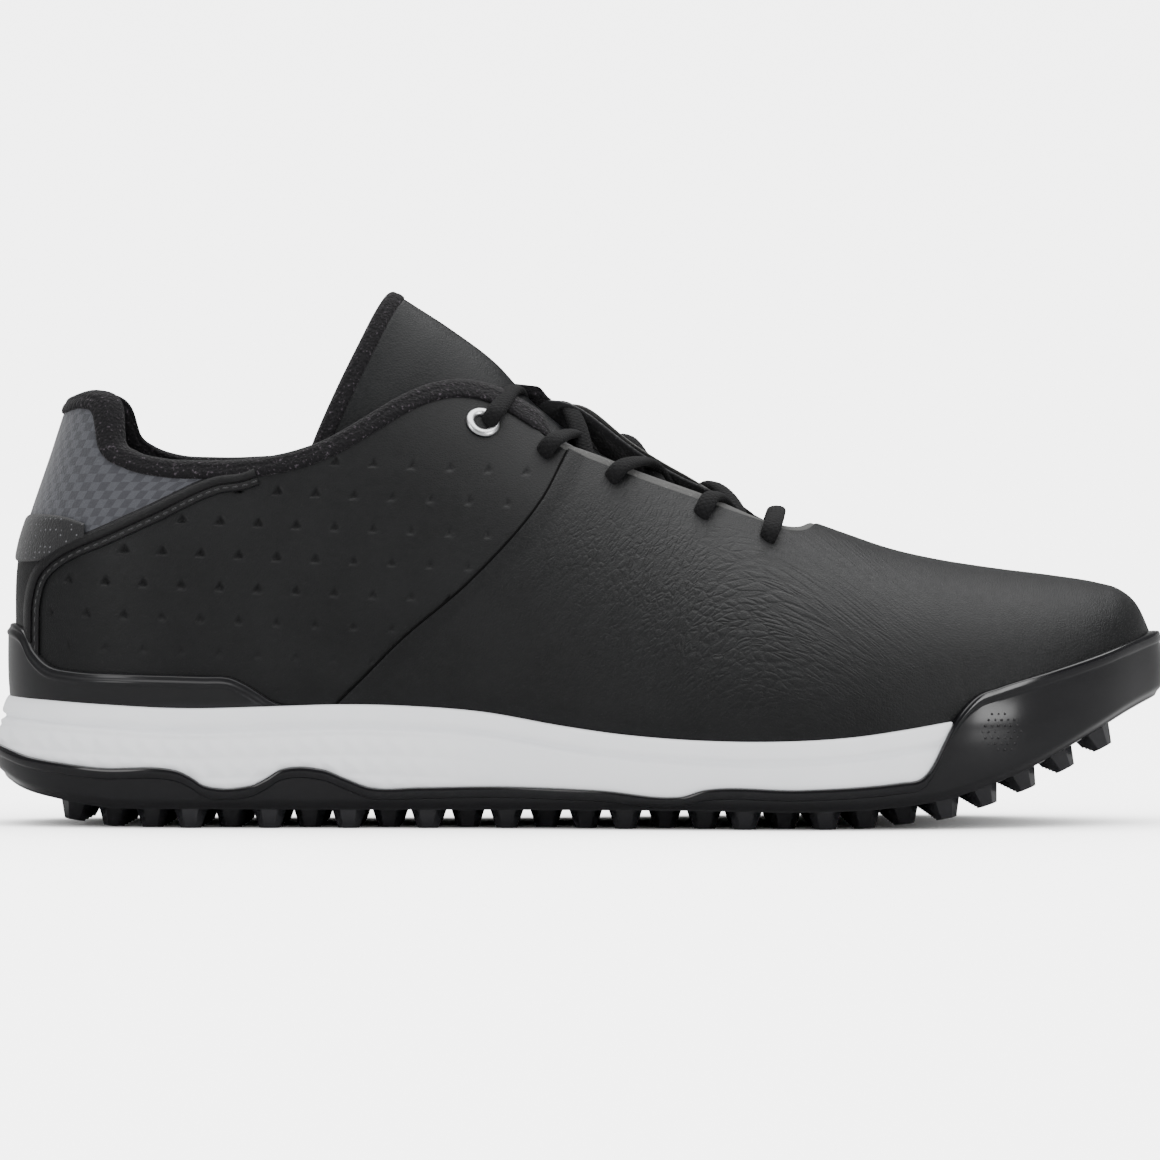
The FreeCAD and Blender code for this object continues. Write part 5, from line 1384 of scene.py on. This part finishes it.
def flat_braid(line):
    """Grid of an oval section carried along the lace: it lies flat against the form, turning slowly
    where the lace dives through an eyelet, and the strands stand as crossing diagonal ridges."""
    reach = np.concatenate([[0], np.cumsum(np.linalg.norm(np.diff(line, axis=0), axis=1))])
    even = np.linspace(0, reach[-1], int(reach[-1] / 0.55))
    spots = np.stack([np.interp(even, reach, line[:, k]) for k in range(3)], -1)
    ahead = np.gradient(spots, axis=0)
    ahead /= np.linalg.norm(ahead, axis=1)[:, None]
    out = spots - np.stack([spots[:, 0], np.full(len(spots), 2.0), curve_at(RIDGE, spots[:, 0]) - 32], -1)
    out -= ahead * (out * ahead).sum(1)[:, None]
    out /= np.maximum(np.linalg.norm(out, axis=1), 1e-6)[:, None]
    kernel = np.hanning(21) / np.hanning(21).sum()
    out = np.stack([np.convolve(np.pad(out[:, k], 10, "edge"), kernel, "valid") for k in range(3)], -1)
    out -= ahead * (out * ahead).sum(1)[:, None]
    out /= np.maximum(np.linalg.norm(out, axis=1), 1e-6)[:, None]
    flat = np.cross(ahead, out)
    turn = np.linspace(0, 2 * math.pi, 33)
    strands = 0.10 * (np.abs(np.sin(4 * turn[None] + even[:, None] * 2.2))
                      + np.abs(np.sin(4 * turn[None] - even[:, None] * 2.2)))
    oval = np.abs(np.cos(turn)) ** 0.8 * np.sign(np.cos(turn))
    points = (spots[:, None] + flat[:, None] * ((LACE_WIDE * oval)[None] + strands * np.cos(turn))[..., None]
              + out[:, None] * ((LACE_THICK * np.sin(turn))[None] + strands * np.sin(turn))[..., None])
    wound = np.stack(np.broadcast_arrays(even[:, None], (turn * 1.7)[None]), -1) * MM
    return points, wound


braid, wound = flat_braid(line)


def braid_material():
    """Braided cord: crossed diagonal strands from the lace's own map, with fine fibre and sheen."""
    material = cloth_material("lace_cord", (0.0035, 0.0035, 0.004), (0.012, 0.012, 0.013), 0.85, 2600.0, 0.1,
                              sheen=0.02)
    nodes, links = material.node_tree.nodes, material.node_tree.links
    wrap = nodes.new("ShaderNodeUVMap")
    wrap.uv_map = "UVMap"
    bands = []
    for turn in (0.75, -0.75):
        spin = nodes.new("ShaderNodeMapping")
        spin.inputs["Rotation"].default_value = (0, 0, turn)
        wave = nodes.new("ShaderNodeTexWave")
        wave.inputs["Scale"].default_value = 330.0
        links.new(wrap.outputs["UV"], spin.inputs["Vector"])
        links.new(spin.outputs["Vector"], wave.inputs["Vector"])
        bands.append(wave)
    cross = nodes.new("ShaderNodeMath")
    cross.operation = "MAXIMUM"
    bump = nodes.new("ShaderNodeBump")
    bump.inputs["Strength"].default_value = 0.7
    bump.inputs["Distance"].default_value = 0.18 * MM
    links.new(bands[0].outputs["Fac"], cross.inputs[0])
    links.new(bands[1].outputs["Fac"], cross.inputs[1])
    links.new(cross.outputs["Value"], bump.inputs["Height"])
    fine = [node for node in nodes if node.type == "BUMP" and node != bump][0]
    links.new(fine.outputs["Normal"], bump.inputs["Normal"])
    links.new(bump.outputs["Normal"], nodes["Principled BSDF"].inputs["Normal"])
    return material


lace = surface("lace_braid", [braid[:, ::-1]], None, [wound[:, ::-1]])
dress(lace, braid_material(), "shoe", "lace_cord", "lace")

# ---- Hidden layers ---------------------------------------------------------------------------
# Between the leather and the lining: a soft backing sheet over the whole upper, foam in the collar,
# and stiff sheets round the heel and over the toe.
STIFF_IN = -2.4
open_foam = cloth_material("foam", (0.16, 0.16, 0.165), (0.26, 0.26, 0.27), 0.95, 800.0, 0.4)
dress(wall(surface("backing_sheet", backing_grids), 0.6), open_foam, "shoe", "foam", "upper_backing")


def hidden_sheet(name, grow, low, high, front):
    """Sheet inside the form between side-view lines up to a front place; where its low line starts behind the
    middle, it closes round the back.
    """
    steps = np.linspace(0, 1, 90)
    grids = []
    for side in (LATERAL, MEDIAL):
        ends = [line[side] if isinstance(line, dict) else line for line in (low, high)]
        rear_z = np.linspace(ends[0][0][1], ends[1][0][1], 8)
        rear = [(ends[0][0][0] if ends[0][0][0] > 0 else float(curve_at(BACK, z)) - grow, z) for z in rear_z]
        ends = [[rear[k]] + ends[k][1:] for k in (0, -1)]
        tall = [(front, z) for z in np.linspace(ends[0][-1][1], ends[1][-1][1], 4)]
        grids.append(outward(side, form_points(side, patch(*ends, rear, tall, steps, steps), grow)))
    return surface(name, grids)


foam_top = {side: [(-131, 106)] + [(x, z - 0.3) for x, z in COLLAR[side][2:-1]] for side in (LATERAL, MEDIAL)}
puff_top = [(x, float(curve_at(RIDGE, x)) + STIFF_IN) for x in (104, 115, 125, 135, 141, 146.4)]
for name, low, high, front, thickness, node in (
        ("collar_padding", [(-137, 86), (-110, 68), (-80, 66), (-50, 76), (-16.5, 84)], foam_top, -16.5, 1.5,
         "collar_foam"),
        ("heel_stiffener", [(-143, 30), (-115, 29), (-85, 29)], [(-143, 64), (-110, 57), (-85, 42)], -85, 1.2,
         "heel_counter"),
        ("toe_stiffener", [(104, 27), (120, 32), (135, 37), (146.4, 43)], puff_top, 146.4, 1.0, "toe_puff")):
    dress(wall(hidden_sheet(name, STIFF_IN, low, high, front), thickness), open_foam, "shoe", "foam", node)

# ---- Board, arch plate and lace ends ---------------------------------------------------------
# Insole board, arch plate and the lace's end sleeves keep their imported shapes, and take finishes of
# their own.
fibre_board = cloth_material("board", (0.38, 0.36, 0.33), (0.52, 0.50, 0.46), 0.85, 700.0, 0.15)
sleeve = satin_plastic("clear_plastic", (0.02, 0.02, 0.02), 0.2, 0.5)
for nodes, material in ((("insole_board",), fibre_board), (("shank",), satin_black),
                        (("lateral_aglet", "medial_aglet"), sleeve)):
    for node in nodes:
        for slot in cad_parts[node].material_slots:
            slot.material = material
